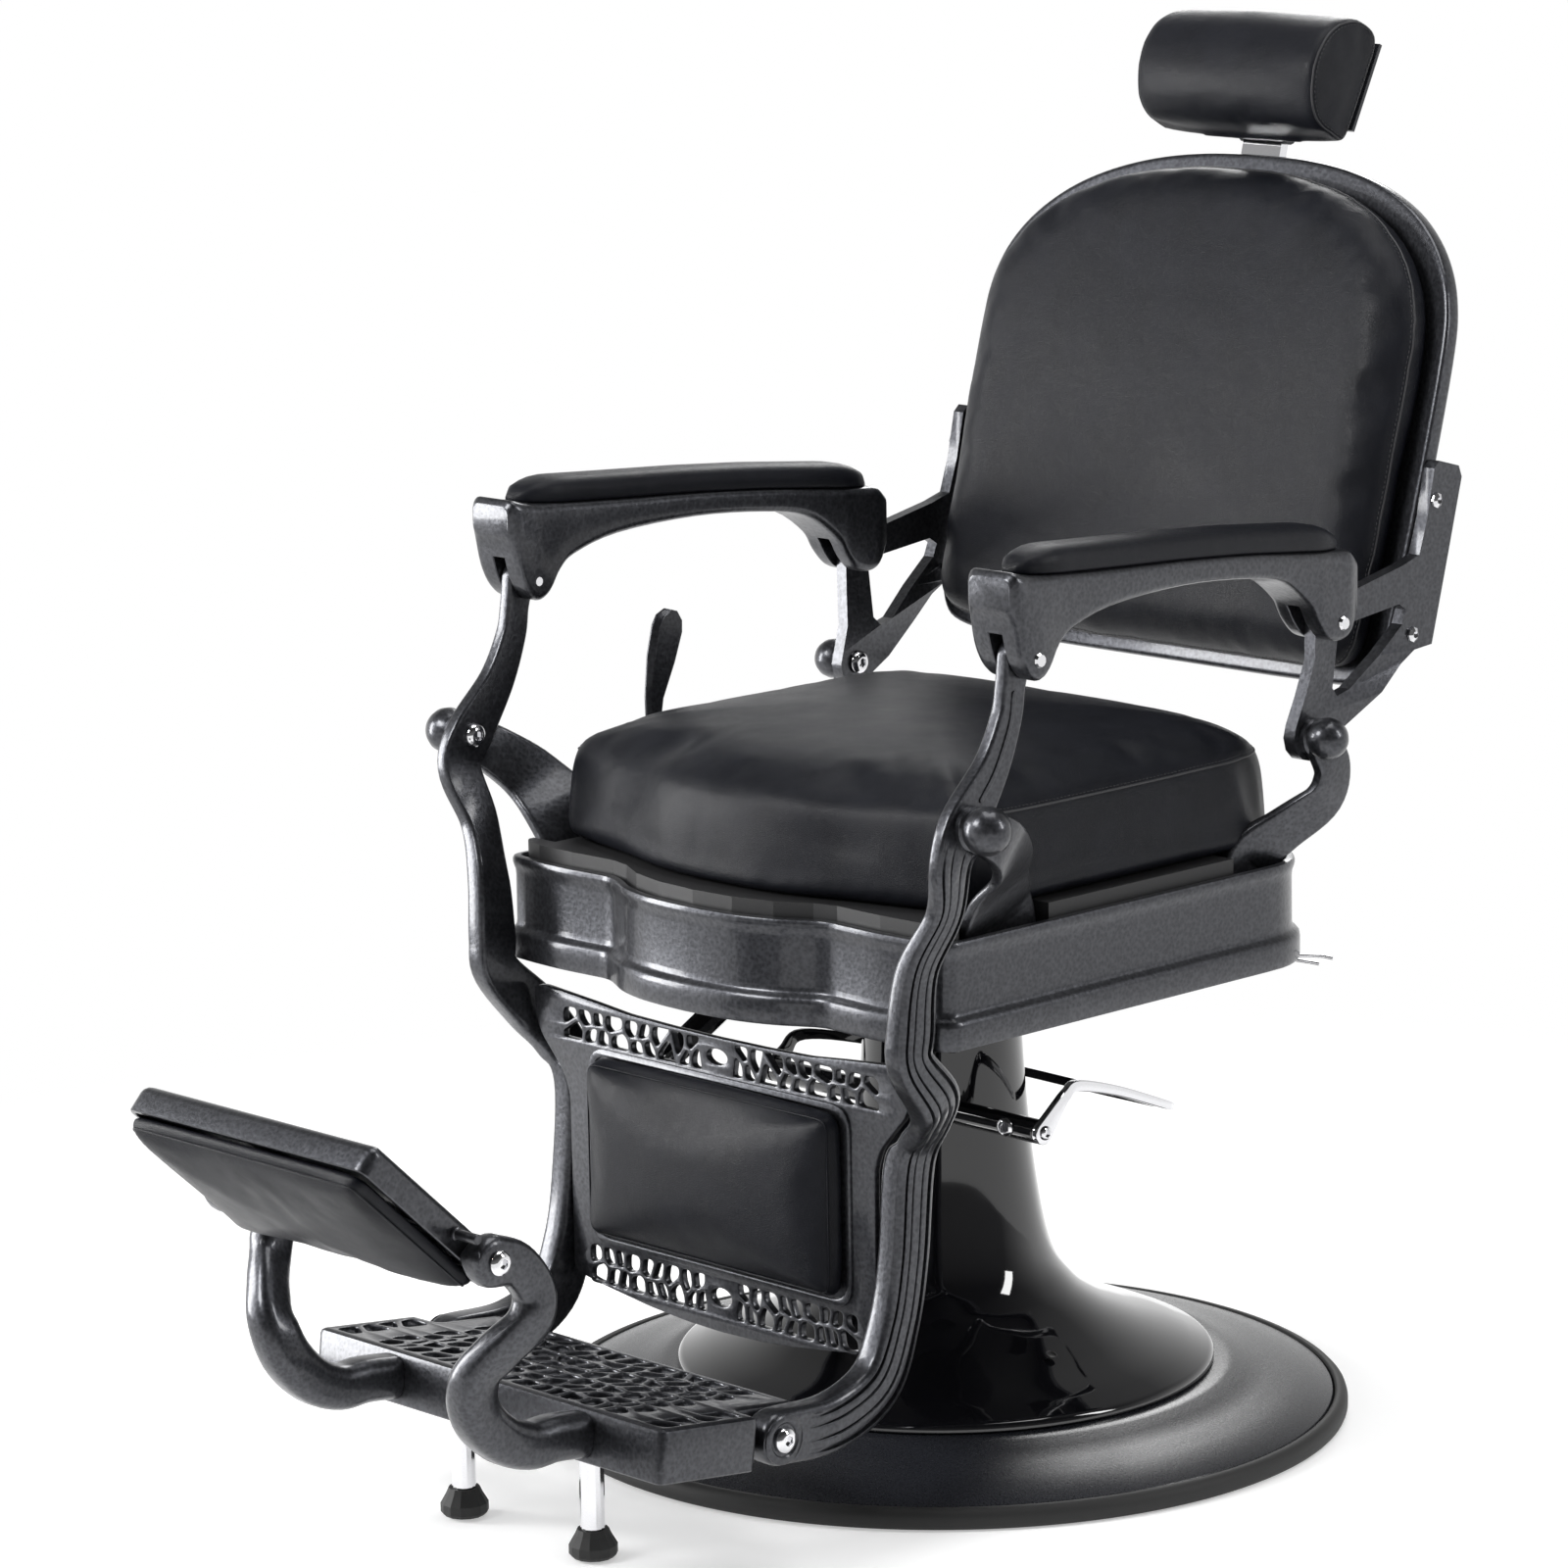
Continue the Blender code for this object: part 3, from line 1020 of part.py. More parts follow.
def build_strut():
    a = Vector((STRUT_X, STRUT_Y, STRUT_Z))
    b = Vector((STRUT_X, STRUT_FY, STRUT_FZ))
    d = (b - a).normalized()
    total = (b - a).length
    across = Vector((1, 0, 0))
    bore = ROD_R + 0.0008
    tube = [(0, 0.014), (0.0110, 0.014), (0.0120, 0.016), (0.0120, STRUT_TUBE), (bore, STRUT_TUBE),
            (bore, 0.020), (0, 0.020)]
    cyl = turned("recline_cylinder", tube, 12, a, d, gloss())
    eye = 0.0090
    join(cyl, [beam(a + d * 0.002, d, 0.016, 0.0130, 0.014),
               rod(a - across * 0.0065, a + across * 0.0065, eye, 16)])
    cut(cyl, [rod(a - across * 0.03, a + across * 0.03, STRUT_PIN + 0.0005)])
    piston = [(0, 0.026), (ROD_R, 0.026), (ROD_R, total - 0.005), (0, total - 0.005)]
    piston = turned("recline_rod", piston, 12, a, d, chrome())
    join(piston, [rod(b - across * 0.0065, b + across * 0.0065, eye, 16)])
    cut(piston, [rod(b - across * 0.03, b + across * 0.03, STRUT_PIN + 0.0005)])


def pair(*names):
    return [f"{n}_{tag}" for n in names for tag in ("L", "R")]


def hang(name, at, parent, nodes):
    """An empty on a joint's axis, with the pieces that turn or slide with it."""
    empty = bpy.data.objects.new(name, None)
    COL["part"].objects.link(empty)
    empty.location = at
    if parent:
        empty.parent = parent
        empty.location = Vector(at) - WHERE[parent.name]
    WHERE[name] = Vector(at)
    for node in nodes:
        ob = bpy.data.objects[node]
        ob.parent = empty
        ob.matrix_parent_inverse = Matrix.Translation(-WHERE[name])
    return empty


def hang_joints():
    hinge = head_frame()[2]
    hang("pump_hinge", (0, PUMP_Y, PUMP_Z), None, ["pump_shaft"] + pair("pump_lever"))
    lift = hang("lift", (0, 0, HUB_Z), None, ["lift_ram"])
    seat = hang("swivel", (0, 0, HUB_Z), lift, ["seat_apron", "seat_frame", "seat_board", "seat_cushion"]
                + pair("front_post", "rear_post", "front_pivot_bolt", "rear_pivot_bolt"))
    leg = hang("leg_hinge", (0, F_Y, F_Z), seat, ["leg_panel", "calf_pad"] + pair("leg_lever"))
    foot = hang("foot_plate_hinge", (0, PLATE_Y, PLATE_Z), leg, ["foot_plate"] + pair(
        "foot_plate_bolt", "foot_leg", "foot_rubber", "step_arm"))
    tray = ["footrest_tray", "footrest_pad"] + pair("footrest_bolt")
    hang("footrest_hinge", (0, TRAY_Y, TRAY_Z), foot, tray)
    back = hang("recline_hinge", (0, R_Y, R_Z), seat, ["back_shell", "back_cushion"] + pair(
        "back_lever", "back_screw_1", "back_screw_2"))
    for tag, s in (("L", 1), ("R", -1)):
        hang(f"armrest_hinge_{tag}", (s * BACK_XA, A_Y, A_Z), back,
             [f"{n}_{tag}" for n in ("armrest", "arm_pad", "arm_front_pin", "arm_rear_pin")])
    stem = hang("headrest_slide", hinge, back, ["headrest_stem"])
    hang("headrest_hinge", hinge, stem, ["headrest_cushion", "headrest_bracket"])
    hang("handle_hinge", (-SEAT_X, HANDLE_Y, HANDLE_Z), seat, ["recline_handle"])
    hang("strut_rear_eye", (STRUT_X, STRUT_Y, STRUT_Z), seat, ["recline_cylinder"])
    hang("strut_front_eye", (STRUT_X, STRUT_FY, STRUT_FZ), leg, ["recline_rod"])


def main():
    start()
    build_base()
    build_pump_lever()
    build_apron()
    build_frame()
    build_seat_cushion()
    build_posts()
    build_leg_levers()
    build_panel()
    build_foot_plate()
    build_step_arms()
    build_footrest()
    build_back()
    build_back_levers()
    build_armrests()
    build_headrest()
    build_handle()
    build_strut()
    build_bolts()
    hang_joints()


main()
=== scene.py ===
import json
import math

import bmesh
import bpy
import numpy as np
from mathutils import Matrix, Vector
from mathutils.bvhtree import BVHTree


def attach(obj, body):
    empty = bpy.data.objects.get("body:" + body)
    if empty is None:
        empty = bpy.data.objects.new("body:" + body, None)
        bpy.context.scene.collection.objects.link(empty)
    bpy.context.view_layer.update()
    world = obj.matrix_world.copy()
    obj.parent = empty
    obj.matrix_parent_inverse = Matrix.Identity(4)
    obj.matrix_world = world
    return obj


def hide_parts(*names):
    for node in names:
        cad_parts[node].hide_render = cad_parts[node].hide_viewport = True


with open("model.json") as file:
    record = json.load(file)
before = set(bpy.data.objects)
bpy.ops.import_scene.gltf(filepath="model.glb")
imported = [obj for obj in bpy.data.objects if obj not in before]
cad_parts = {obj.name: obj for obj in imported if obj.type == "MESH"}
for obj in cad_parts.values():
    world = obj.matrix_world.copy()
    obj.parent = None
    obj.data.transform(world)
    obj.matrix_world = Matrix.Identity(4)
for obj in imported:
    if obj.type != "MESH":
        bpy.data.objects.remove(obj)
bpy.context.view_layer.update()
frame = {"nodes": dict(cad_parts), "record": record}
WHITE = (1.0, 1.0, 1.0, 1.0)


# ---------------------------------------------------------------- shader maths
class Val:
    """A socket whose sums and products are Math nodes."""

    def __init__(self, kit, socket):
        self.kit = kit
        self.socket = socket

    def maths(self, operation, *args):
        return self.kit.node("ShaderNodeMath", {"operation": operation}, dict(enumerate(args)))

    def __add__(self, other):
        return self.maths("ADD", self, other)

    def __mul__(self, other):
        return self.maths("MULTIPLY", self, other)

    def ramp(self, low, high):
        """0 at low, 1 at high, smooth between."""
        return self.kit.node("ShaderNodeMapRange", {"interpolation_type": "SMOOTHSTEP"},
                             {"Value": self, "From Min": low, "From Max": high})


class Kit:
    """Adds nodes to a tree and links what they read."""

    def __init__(self, tree):
        self.tree = tree

    def node(self, kind, settings, inputs, out=0):
        n = self.tree.nodes.new(kind)
        for key, value in settings.items():
            if key == "stops":
                ramp = n.color_ramp
                while len(ramp.elements) < len(value):
                    ramp.elements.new(0.5)
                for element, (at, colour) in zip(ramp.elements, value):
                    element.position = at
                    element.color = (*colour, 1.0)
            else:
                setattr(n, key, value)
        for key, value in inputs.items():
            socket = n.inputs[key]
            if isinstance(value, Val):
                self.tree.links.new(value.socket, socket)
            elif hasattr(socket.default_value, "__len__") and not hasattr(value, "__len__"):
                socket.default_value = (value,) * len(socket.default_value)
            else:
                socket.default_value = value
        return Val(self, n.outputs[out])


class Finish(Kit):
    """A material with its Principled shader, read in object coordinates."""

    def __init__(self, name, **sockets):
        self.material = bpy.data.materials.new(name)
        self.material.use_nodes = True
        super().__init__(self.material.node_tree)
        self.shader = self.tree.nodes["Principled BSDF"]
        for label, value in sockets.items():
            self.shader.inputs[label.replace("_", " ")].default_value = value
        self.place = self.node("ShaderNodeTexCoord", {}, {}, "Object")

    def noise(self, scale, detail=2.0, rough=0.5):
        return self.node("ShaderNodeTexNoise", {}, {"Vector": self.place, "Scale": scale,
                                                    "Detail": detail, "Roughness": rough}, "Fac")

    def cells(self, scale, feature="F1"):
        return self.node("ShaderNodeTexVoronoi", {"feature": feature},
                         {"Vector": self.place, "Scale": scale}, "Distance")

    def colours(self, value, stops):
        return self.node("ShaderNodeValToRGB", {"stops": stops}, {"Fac": value})

    def bump(self, height, distance, strength=1.0, over=None):
        inputs = {"Height": height, "Distance": distance, "Strength": strength}
        if over:
            inputs["Normal"] = over
        return self.node("ShaderNodeBump", {}, inputs)

    def feed(self, **links):
        for label, value in links.items():
            self.tree.links.new(value.socket, self.shader.inputs[label.replace("_", " ")])
        return self.material


def hammered(name, dark, pale):
    """Hammered casting paint: shallow dimple bumps and a mottled tone; the colour also follows the dimples,
    darker in the hollows and lighter on the rims, which is painted shade and painted highlight.
    """
    f = Finish(name, Metallic=0.90, Coat_Weight=0.45, Coat_Roughness=0.13)
    drift = f.noise(150.0, 2.0)
    dimple_bump_and_shade = f.cells(300.0, "SMOOTH_F1")
    mottle = f.noise(420.0, 3.0, 0.65)
    # colour: the dimple term is painted shade in the hollows and painted highlight on the rims, the mottle
    # term is random tone
    tone = dimple_bump_and_shade.ramp(0.15, 0.75) * 0.60 + mottle.ramp(0.30, 0.72) * 0.40
    colour = f.colours(tone, [(0.0, dark), (1.0, pale)])
    rough = drift * 0.14 + mottle * 0.12 + 0.24
    lumps = f.bump(dimple_bump_and_shade + mottle * 0.35, 0.00034, 0.50)
    return f.feed(Base_Color=colour, Roughness=rough, Normal=lumps)


def leathered(name):
    """Black leather: fine pebble grain, soft drift in tone and gloss."""
    f = Finish(name, Metallic=0.0)
    f.shader.inputs["Specular IOR Level"].default_value = 0.17
    pebble = f.cells(780.0, "DISTANCE_TO_EDGE")
    pores = f.cells(1500.0, "F1")
    drift = f.noise(26.0, 3.0, 0.6)
    colour = f.colours(drift, [(0.30, (0.0036, 0.0041, 0.0064)), (0.72, (0.0066, 0.0073, 0.0108))])
    rough = drift * 0.16 + 0.325 + pebble.ramp(0.0, 0.12) * -0.05
    grain = f.bump(pebble.ramp(0.0, 0.16) * 0.7 + pores * 0.3, 0.00022, 0.55)
    sway = f.bump(f.noise(44.0, 2.0), 0.0016, 0.30, grain)
    return f.feed(Base_Color=colour, Roughness=rough, Normal=sway)


def enamelled(name, colour, rough, ripple=0.00008):
    """Poured gloss paint with a faint ripple."""
    f = Finish(name, Base_Color=(*colour, 1.0), Coat_Weight=0.6, Coat_Roughness=0.02)
    haze = f.noise(38.0, 2.0)
    tone = f.colours(haze, [(0.0, colour), (1.0, tuple(c * 1.5 for c in colour))])
    return f.feed(Base_Color=tone, Roughness=haze * 0.05 + rough,
                  Normal=f.bump(f.noise(22.0, 1.0), ripple, 0.5))


def powdered(name, colour, rough, grain, depth):
    """Satin paint with a fine orange-peel texture."""
    f = Finish(name)
    peel = f.noise(grain, 2.0, 0.6)
    tone = f.colours(peel, [(0.25, tuple(c * 0.75 for c in colour)), (0.8, tuple(c * 1.3 for c in colour))])
    return f.feed(Base_Color=tone, Roughness=peel * 0.12 + rough, Normal=f.bump(peel, depth, 0.6))


def plated(name, colour, rough):
    """Polished or ground metal with faint hairline streaks."""
    f = Finish(name, Metallic=1.0)
    streak = f.noise(900.0, 2.0)
    tone = f.colours(streak, [(0.2, tuple(c * 0.92 for c in colour)), (0.8, colour)])
    return f.feed(Base_Color=tone, Roughness=streak * rough + rough * 0.5,
                  Normal=f.bump(streak, 0.00002, 0.3))


CASTING = hammered("hammered_gunmetal", (0.034, 0.035, 0.040), (0.074, 0.076, 0.085))
LEATHER = leathered("black_leather_grain")
BELL_PAINT = enamelled("deep_gloss_black", (0.0035, 0.0035, 0.0045), 0.025)
PLATE_PAINT = powdered("satin_floor_plate", (0.016, 0.017, 0.021), 0.22, 520.0, 0.00014)
FRAME_PAINT = powdered("plain_frame_black", (0.014, 0.014, 0.015), 0.46, 700.0, 0.00010)
RUBBER = powdered("matt_rubber", (0.012, 0.012, 0.012), 0.55, 900.0, 0.00012)
CHROME = plated("bright_chrome", (0.80, 0.80, 0.82), 0.06)
STEEL = plated("ground_steel_shade", (0.50, 0.50, 0.52), 0.20)
THREAD = powdered("waxed_thread", (0.020, 0.020, 0.023), 0.42, 2400.0, 0.00010)
SLOT_FINISH = {"hammered_paint": CASTING, "chrome": CHROME, "gloss_black_paint": BELL_PAINT,
               "satin_black_paint": PLATE_PAINT, "frame_black_paint": FRAME_PAINT,
               "black_leather": LEATHER, "black_rubber": RUBBER, "ground_steel": STEEL}


# ---------------------------------------------------------------- making pieces
def piece(name, bm, material, body, nodes=(), sharp=38.0):
    """A finished bmesh as a shown piece that rides on a body and may stand for CAD nodes."""
    mesh = bpy.data.meshes.new(name)
    bm.to_mesh(mesh)
    bm.free()
    ob = bpy.data.objects.new(name, mesh)
    bpy.context.scene.collection.objects.link(ob)
    mesh.materials.append(material)
    mesh.shade_smooth()
    if sharp:
        mesh.set_sharp_from_angle(angle=math.radians(sharp))
    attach(ob, body)
    if nodes:
        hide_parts(*nodes)
    return ob


def eased(ob, width, segments=2, angle=35.0):
    """Round the hard edges with a live bevel."""
    m = ob.modifiers.new("eased_edges", "BEVEL")
    m.width = width
    m.segments = segments
    m.limit_method = "ANGLE"
    m.angle_limit = math.radians(angle)
    m.harden_normals = False
    return ob


def smooth_rows(rows, steps):
    """Pass a smooth curve through rows of numbers."""
    pts = [np.array(r, float) for r in rows]
    pts = [2 * pts[0] - pts[1]] + pts + [2 * pts[-1] - pts[-2]]
    out = []
    for a, b, c, d in zip(pts, pts[1:], pts[2:], pts[3:]):
        for k in range(steps):
            t = k / steps
            out.append(0.5 * (2 * b + (c - a) * t + (2 * a - 5 * b + 4 * c - d) * t * t
                              + (3 * b - a - 3 * c + d) * t ** 3))
    return out + [pts[-2]]


def swept(rings, closed=False):
    """Roll a grid round a list of equal rings of points; open ends are filled."""
    rows = list(rings) + ([rings[0]] if closed else [])
    bm = bmesh.new()
    bmesh.ops.create_grid(bm, x_segments=len(rows[0]), y_segments=len(rows) - 1, size=1.0)
    for v, p in zip(bm.verts, [p for ring in rows for p in [*ring, ring[0]]]):
        v.co = p
    bmesh.ops.remove_doubles(bm, verts=bm.verts[:], dist=1e-6)
    if not closed:
        bmesh.ops.holes_fill(bm, edges=[e for e in bm.edges if e.is_boundary], sides=0)
    bmesh.ops.recalc_face_normals(bm, faces=bm.faces[:])
    return bm


def spun(profile, axis=(0, 0, 1), at=(0, 0, 0), steps=96, closed=False):
    """Turn a profile of (radius, height) about an axis."""
    bm = bmesh.new()
    turn_to = Vector((0, 0, 1)).rotation_difference(Vector(axis)).to_matrix()
    vs = [bm.verts.new(turn_to @ Vector((r, 0.0, h)) + Vector(at)) for r, h in profile]
    edges = [bm.edges.new(pair) for pair in zip(vs, vs[1:])]
    if closed:
        edges.append(bm.edges.new((vs[-1], vs[0])))
    bmesh.ops.spin(bm, geom=vs + edges, cent=at, axis=axis, dvec=(0, 0, 0), angle=2 * math.pi,
                   steps=steps, use_merge=True, use_duplicate=False)
    bmesh.ops.remove_doubles(bm, verts=bm.verts[:], dist=1e-6)
    bmesh.ops.recalc_face_normals(bm, faces=bm.faces[:])
    return bm


def rounded_box(w, t, c, k=5):
    """Rounded rectangle section, w along the first axis, with k points on each corner."""
    out = []
    for q, (sx, sy) in enumerate(((1, 1), (-1, 1), (-1, -1), (1, -1))):
        for i in range(k):
            a = math.pi / 2 * (q + i / (k - 1))
            out.append((sx * (w / 2 - c) + c * math.cos(a), sy * (t / 2 - c) + c * math.sin(a)))
    return out


ROUND_DEGREES = (12, 28, 45, 60, 74, 85)


def bar_rings(rows, steps=5, corner=0.34, round0=True, round1=True, section=None, side=1.0):
    """Rings of a bar along rows (x, y, z, width across the Y-Z path, thickness along X)."""
    path = smooth_rows(rows, steps)
    full = []
    for i, row in enumerate(path):
        d = path[min(i + 1, len(path) - 1)][1:3] - path[max(i - 1, 0)][1:3]
        d = d / np.linalg.norm(d)
        full.append((row[:3], d, row[3], row[4], i / (len(path) - 1)))
    if round0:
        at, d, w, t, f = full[0]
        full = [(at - np.array([0, *d]) * w / 2 * math.sin(math.radians(g)), d,
                 w * math.cos(math.radians(g)), t, f) for g in reversed(ROUND_DEGREES)] + full
    if round1:
        at, d, w, t, f = full[-1]
        full += [(at + np.array([0, *d]) * w / 2 * math.sin(math.radians(g)), d,
                  w * math.cos(math.radians(g)), t, f) for g in ROUND_DEGREES]
    rings = []
    for at, d, w, t, f in full:
        shape = section(w, t, f) if section else rounded_box(w, t, min(w, t) * corner)
        rings.append([(side * (at[0] + v), at[1] - d[1] * u, at[2] + d[0] * u) for u, v in shape])
    return rings


def joined(*parts):
    """One bmesh from several."""
    whole = bmesh.new()
    for part in parts:
        tmp = bpy.data.meshes.new("joining")
        part.to_mesh(tmp)
        part.free()
        whole.from_mesh(tmp)
        bpy.data.meshes.remove(tmp)
    return whole


def pierced(outline, holes, thick, place, edge=0.0012):
    """A flat outline with rounded openings, its edges eased, laid out by place(u, v, w)."""
    curve = bpy.data.curves.new("flat_outline", "CURVE")
    curve.dimensions = "2D"
    curve.fill_mode = "BOTH"
    curve.extrude = thick / 2 - edge
    curve.bevel_depth = edge
    curve.bevel_resolution = 1
    curve.offset = -edge
    for loop in [outline] + list(holes):
        spline = curve.splines.new("POLY")
        spline.points.add(len(loop) - 1)
        for p, (u, v) in zip(spline.points, loop):
            p.co = (u, v, 0.0, 1.0)
        spline.use_cyclic_u = True
    ob = bpy.data.objects.new("flat_outline", curve)
    bpy.context.scene.collection.objects.link(ob)
    graph = bpy.context.evaluated_depsgraph_get()
    mesh = bpy.data.meshes.new_from_object(ob.evaluated_get(graph))
    bpy.data.objects.remove(ob)
    bm = bmesh.new()
    bm.from_mesh(mesh)
    bmesh.ops.remove_doubles(bm, verts=bm.verts[:], dist=1e-5)
    for v in bm.verts:
        v.co = place(*v.co)
    bmesh.ops.recalc_face_normals(bm, faces=bm.faces[:])
    return bm


def soft_loop(points, steps=4):
    """Smooth closed loop through the points."""
    p = [np.array(q, float) for q in points]
    n = len(p)
    out = []
    for i in range(n):
        a, b, c, d = p[i - 1], p[i], p[(i + 1) % n], p[(i + 2) % n]
        for k in range(steps):
            t = k / steps
            out.append(tuple(0.5 * (2 * b + (c - a) * t + (2 * a - 5 * b + 4 * c - d) * t * t
                                    + (3 * b - a - 3 * c + d) * t ** 3)))
    return out


def cornered(points, r, steps=4):
    """Closed polygon with its corners rounded by r."""
    out = []
    n = len(points)
    for i in range(n):
        a, b, c = (Vector(points[j % n]) for j in (i - 1, i, i + 1))
        k = min(r, (a - b).length * 0.45, (c - b).length * 0.45)
        p, q = b + (a - b).normalized() * k, b + (c - b).normalized() * k
        for j in range(steps + 1):
            t = j / steps
            out.append(tuple(p * (1 - t) ** 2 + b * 2 * t * (1 - t) + q * t * t))
    return out


def inward(loop, d):
    """A counter-clockwise loop moved inwards by d."""
    out = []
    n = len(loop)
    for i in range(n):
        a, b, c = Vector(loop[i - 1]), Vector(loop[i]), Vector(loop[(i + 1) % n])
        t = ((b - a).normalized() + (c - b).normalized()).normalized()
        out.append((b.x - t.y * d, b.y + t.x * d))
    return out


def dome(radius, thick, at, axis, socket=0.42, steps=36):
    """Button head with a hexagon socket, its flat side at the given point."""
    turn_to = Vector((0, 0, 1)).rotation_difference(Vector(axis)).to_matrix()
    rows = [(0.97, 0, 0), (1, 0.12, 0), (0.97, 0.42, 0), (0.86, 0.72, 0), (0.66, 0.92, 0), (0.55, 1, 0),
            (socket * 1.06, 0.99, 1), (socket, 0.92, 1), (socket, 0.35, 1)]
    rings = []
    for r, h, six in rows:
        ring = []
        for a in [2 * math.pi * i / steps for i in range(steps)]:
            q = radius * r * (math.cos(math.pi / 6) / math.cos(a % (math.pi / 3) - math.pi / 6) if six else 1)
            ring.append(turn_to @ Vector((q * math.cos(a), q * math.sin(a), h * thick)) + Vector(at))
        rings.append(ring)
    return swept(rings)


def both_sides(name, build, material, body, nodes=(), edge=0.0):
    """Build the piece for +X and -X; body and node names take L or R."""
    for tag, side in (("L", 1.0), ("R", -1.0)):
        ob = piece(f"{name}_{tag}", build(side), material, body.replace("#", tag),
                   [n.replace("#", tag) for n in nodes])
        if edge:
            eased(ob, edge)


def tube(points, r, n=12):
    """Round wire along the points."""
    path = [np.array(p, float) for p in points]
    rings = []
    for i, p in enumerate(path):
        d = path[min(i + 1, len(path) - 1)] - path[max(i - 1, 0)]
        turn_to = Vector((0, 0, 1)).rotation_difference(Vector(d))
        rings.append([Vector(p) + turn_to @ Vector((r * math.cos(a), r * math.sin(a), 0))
                      for a in [2 * math.pi * j / n for j in range(n)]])
    return swept(rings)


# ---------------------------------------------------------------- base and pump
RING_IN, BASE_R, BELL_R = 0.3385, 0.350, 0.234


def floor_profile():
    r = RING_IN - 0.0004
    return [(0, 0), (r - 0.004, 0), (r - 0.001, 0.001), (r, 0.004), (r, 0.0150), (r - 0.0015, 0.0178),
            (r - 0.006, 0.0198), (0.318, 0.0246), (0.300, 0.0300), (0.280, 0.0345), (0.262, 0.0395),
            (0.250, 0.0440), (0.244, 0.0454), (0.2370, 0.0456), (0.060, 0.0456), (0.056, 0.030), (0, 0.030)]


piece("floor_plate", spun(floor_profile(), steps=160), PLATE_PAINT, "base",
      ["base_plate"], 34)
rim = [(RING_IN, 0.0006), (BASE_R - 0.004, 0.0006), (BASE_R - 0.0012, 0.0020), (BASE_R, 0.0050),
       (BASE_R, 0.0112), (BASE_R - 0.0010, 0.0146), (BASE_R - 0.0035, 0.0172), (BASE_R - 0.0065, 0.0184),
       (RING_IN + 0.0025, 0.0187), (RING_IN + 0.0006, 0.0178), (RING_IN, 0.0160)]
piece("rim_rubber", spun(rim, steps=160, closed=True), RUBBER, "base", ["base_rim_rubber"],
      50)
skirt = [(BELL_R - 0.006, 0.0462), (BELL_R - 0.0012, 0.0462), (BELL_R, 0.0474), (BELL_R, 0.0500),
         (BELL_R - 0.0008, 0.0526), (BELL_R - 0.0030, 0.0546)]
skirt += [tuple(p) for p in smooth_rows([(BELL_R - 0.0030, 0.0546), (0.2180, 0.0602), (0.2050, 0.0655),
                                         (0.1680, 0.0795), (0.1360, 0.0955), (0.1115, 0.1160),
                                         (0.0925, 0.1480), (0.0795, 0.2160), (0.0715, 0.2970),
                                         (0.0662, 0.3950)], 7)][1:]
skirt += [(0.0655, 0.3974), (0.0640, 0.398), (0.0620, 0.3970), (0.0670, 0.2950), (0.0880, 0.1430),
          (0.1320, 0.0925), (0.2010, 0.0620), (BELL_R - 0.008, 0.0500)]
piece("pedestal", spun(skirt, steps=160, closed=True), BELL_PAINT, "base",
      ["pedestal_bell"], 40)
# fixing hole low on the pedestal, drawn as a thin dark matt disc on the bell: painted shade standing for the
# hole's depth
hole_at = Vector((0.160, -0.0350, 0.0856))
slope = Vector((0.38, -0.08, 0.92)).normalized()
piece("pedestal_hole_shade_disc", spun([(0, 0.0), (0.0042, 0.0), (0.0050, 0.0006), (0.0042, 0.0010), (0.0034, 0.0004),
                             (0, 0.0003)], slope, hole_at - slope * 0.0004, 28), RUBBER, "base")

PUMP_Y, PUMP_Z, PUMP_X = -0.046, 0.283, 0.159
axle = [(0, -PUMP_X), (0.0092, -PUMP_X), (0.0105, -PUMP_X + 0.0013), (0.0105, PUMP_X - 0.0013),
        (0.0092, PUMP_X),
        (0, PUMP_X)]
piece("pump_axle", spun(axle, (1, 0, 0), (0, PUMP_Y, PUMP_Z), 48), BELL_PAINT, "pump",
      ["pump_shaft"])
x0 = PUMP_X + 0.0034
near = [(x0, 0, 0, 0.021, 0.006), (x0, 0.010, 0.010, 0.017, 0.006), (x0, 0.019, 0.019, 0.0135, 0.006),
        (x0 - 0.001, 0.030, 0.027, 0.011, 0.006), (x0 - 0.007, 0.050, 0.030, 0.010, 0.007),
        (x0 - 0.015, 0.106, 0.014, 0.009, 0.009), (x0 - 0.025, 0.174, -0.012, 0.008, 0.013),
        (x0 - 0.033, 0.192, -0.019, 0.007, 0.016)]
near = [(x, PUMP_Y + y, PUMP_Z + z, w, t) for x, y, z, w, t in near]
eased(piece("pump_pedal", swept(bar_rings(near, 6, 0.22, round1=False)), CHROME, "pump",
            ["pump_lever_L"]), 0.0008)
far = [(-x0, 0, 0, 0.021, 0.006), (-x0, 0.014, 0.014, 0.014, 0.006), (0.002 - x0, 0.034, 0.026, 0.010, 0.006),
       (0.033 - x0, 0.086, 0.016, 0.008, 0.008), (-0.040, 0.150, -0.003, 0.008, 0.010),
       (0.050, 0.186, -0.0165, 0.008, 0.010), (0.105, 0.1985, -0.0215, 0.007, 0.010)]
far = [(x, PUMP_Y + y, PUMP_Z + z, w, t) for x, y, z, w, t in far]
eased(piece("pump_bar", swept(bar_rings(far, 6, 0.22)), BELL_PAINT, "pump",
            ["pump_lever_R"]), 0.0008)
piece("pump_end_screw", dome(0.0062, 0.0030, (x0 + 0.0031, PUMP_Y, PUMP_Z), (1, 0, 0), 0.55), CHROME,
      "pump")
piece("pump_set_screw", dome(0.0085, 0.0042, (0.1290, PUMP_Y - 0.0102, PUMP_Z + 0.001), (0, -1, 0), 0.5),
      CHROME, "pump")


# ---------------------------------------------------------------- seat casting
APRON_Z0, APRON_Z1, SEAT_X, APRON_FRONT, APRON_REAR = 0.408, 0.497, 0.262, -0.2587, 0.205


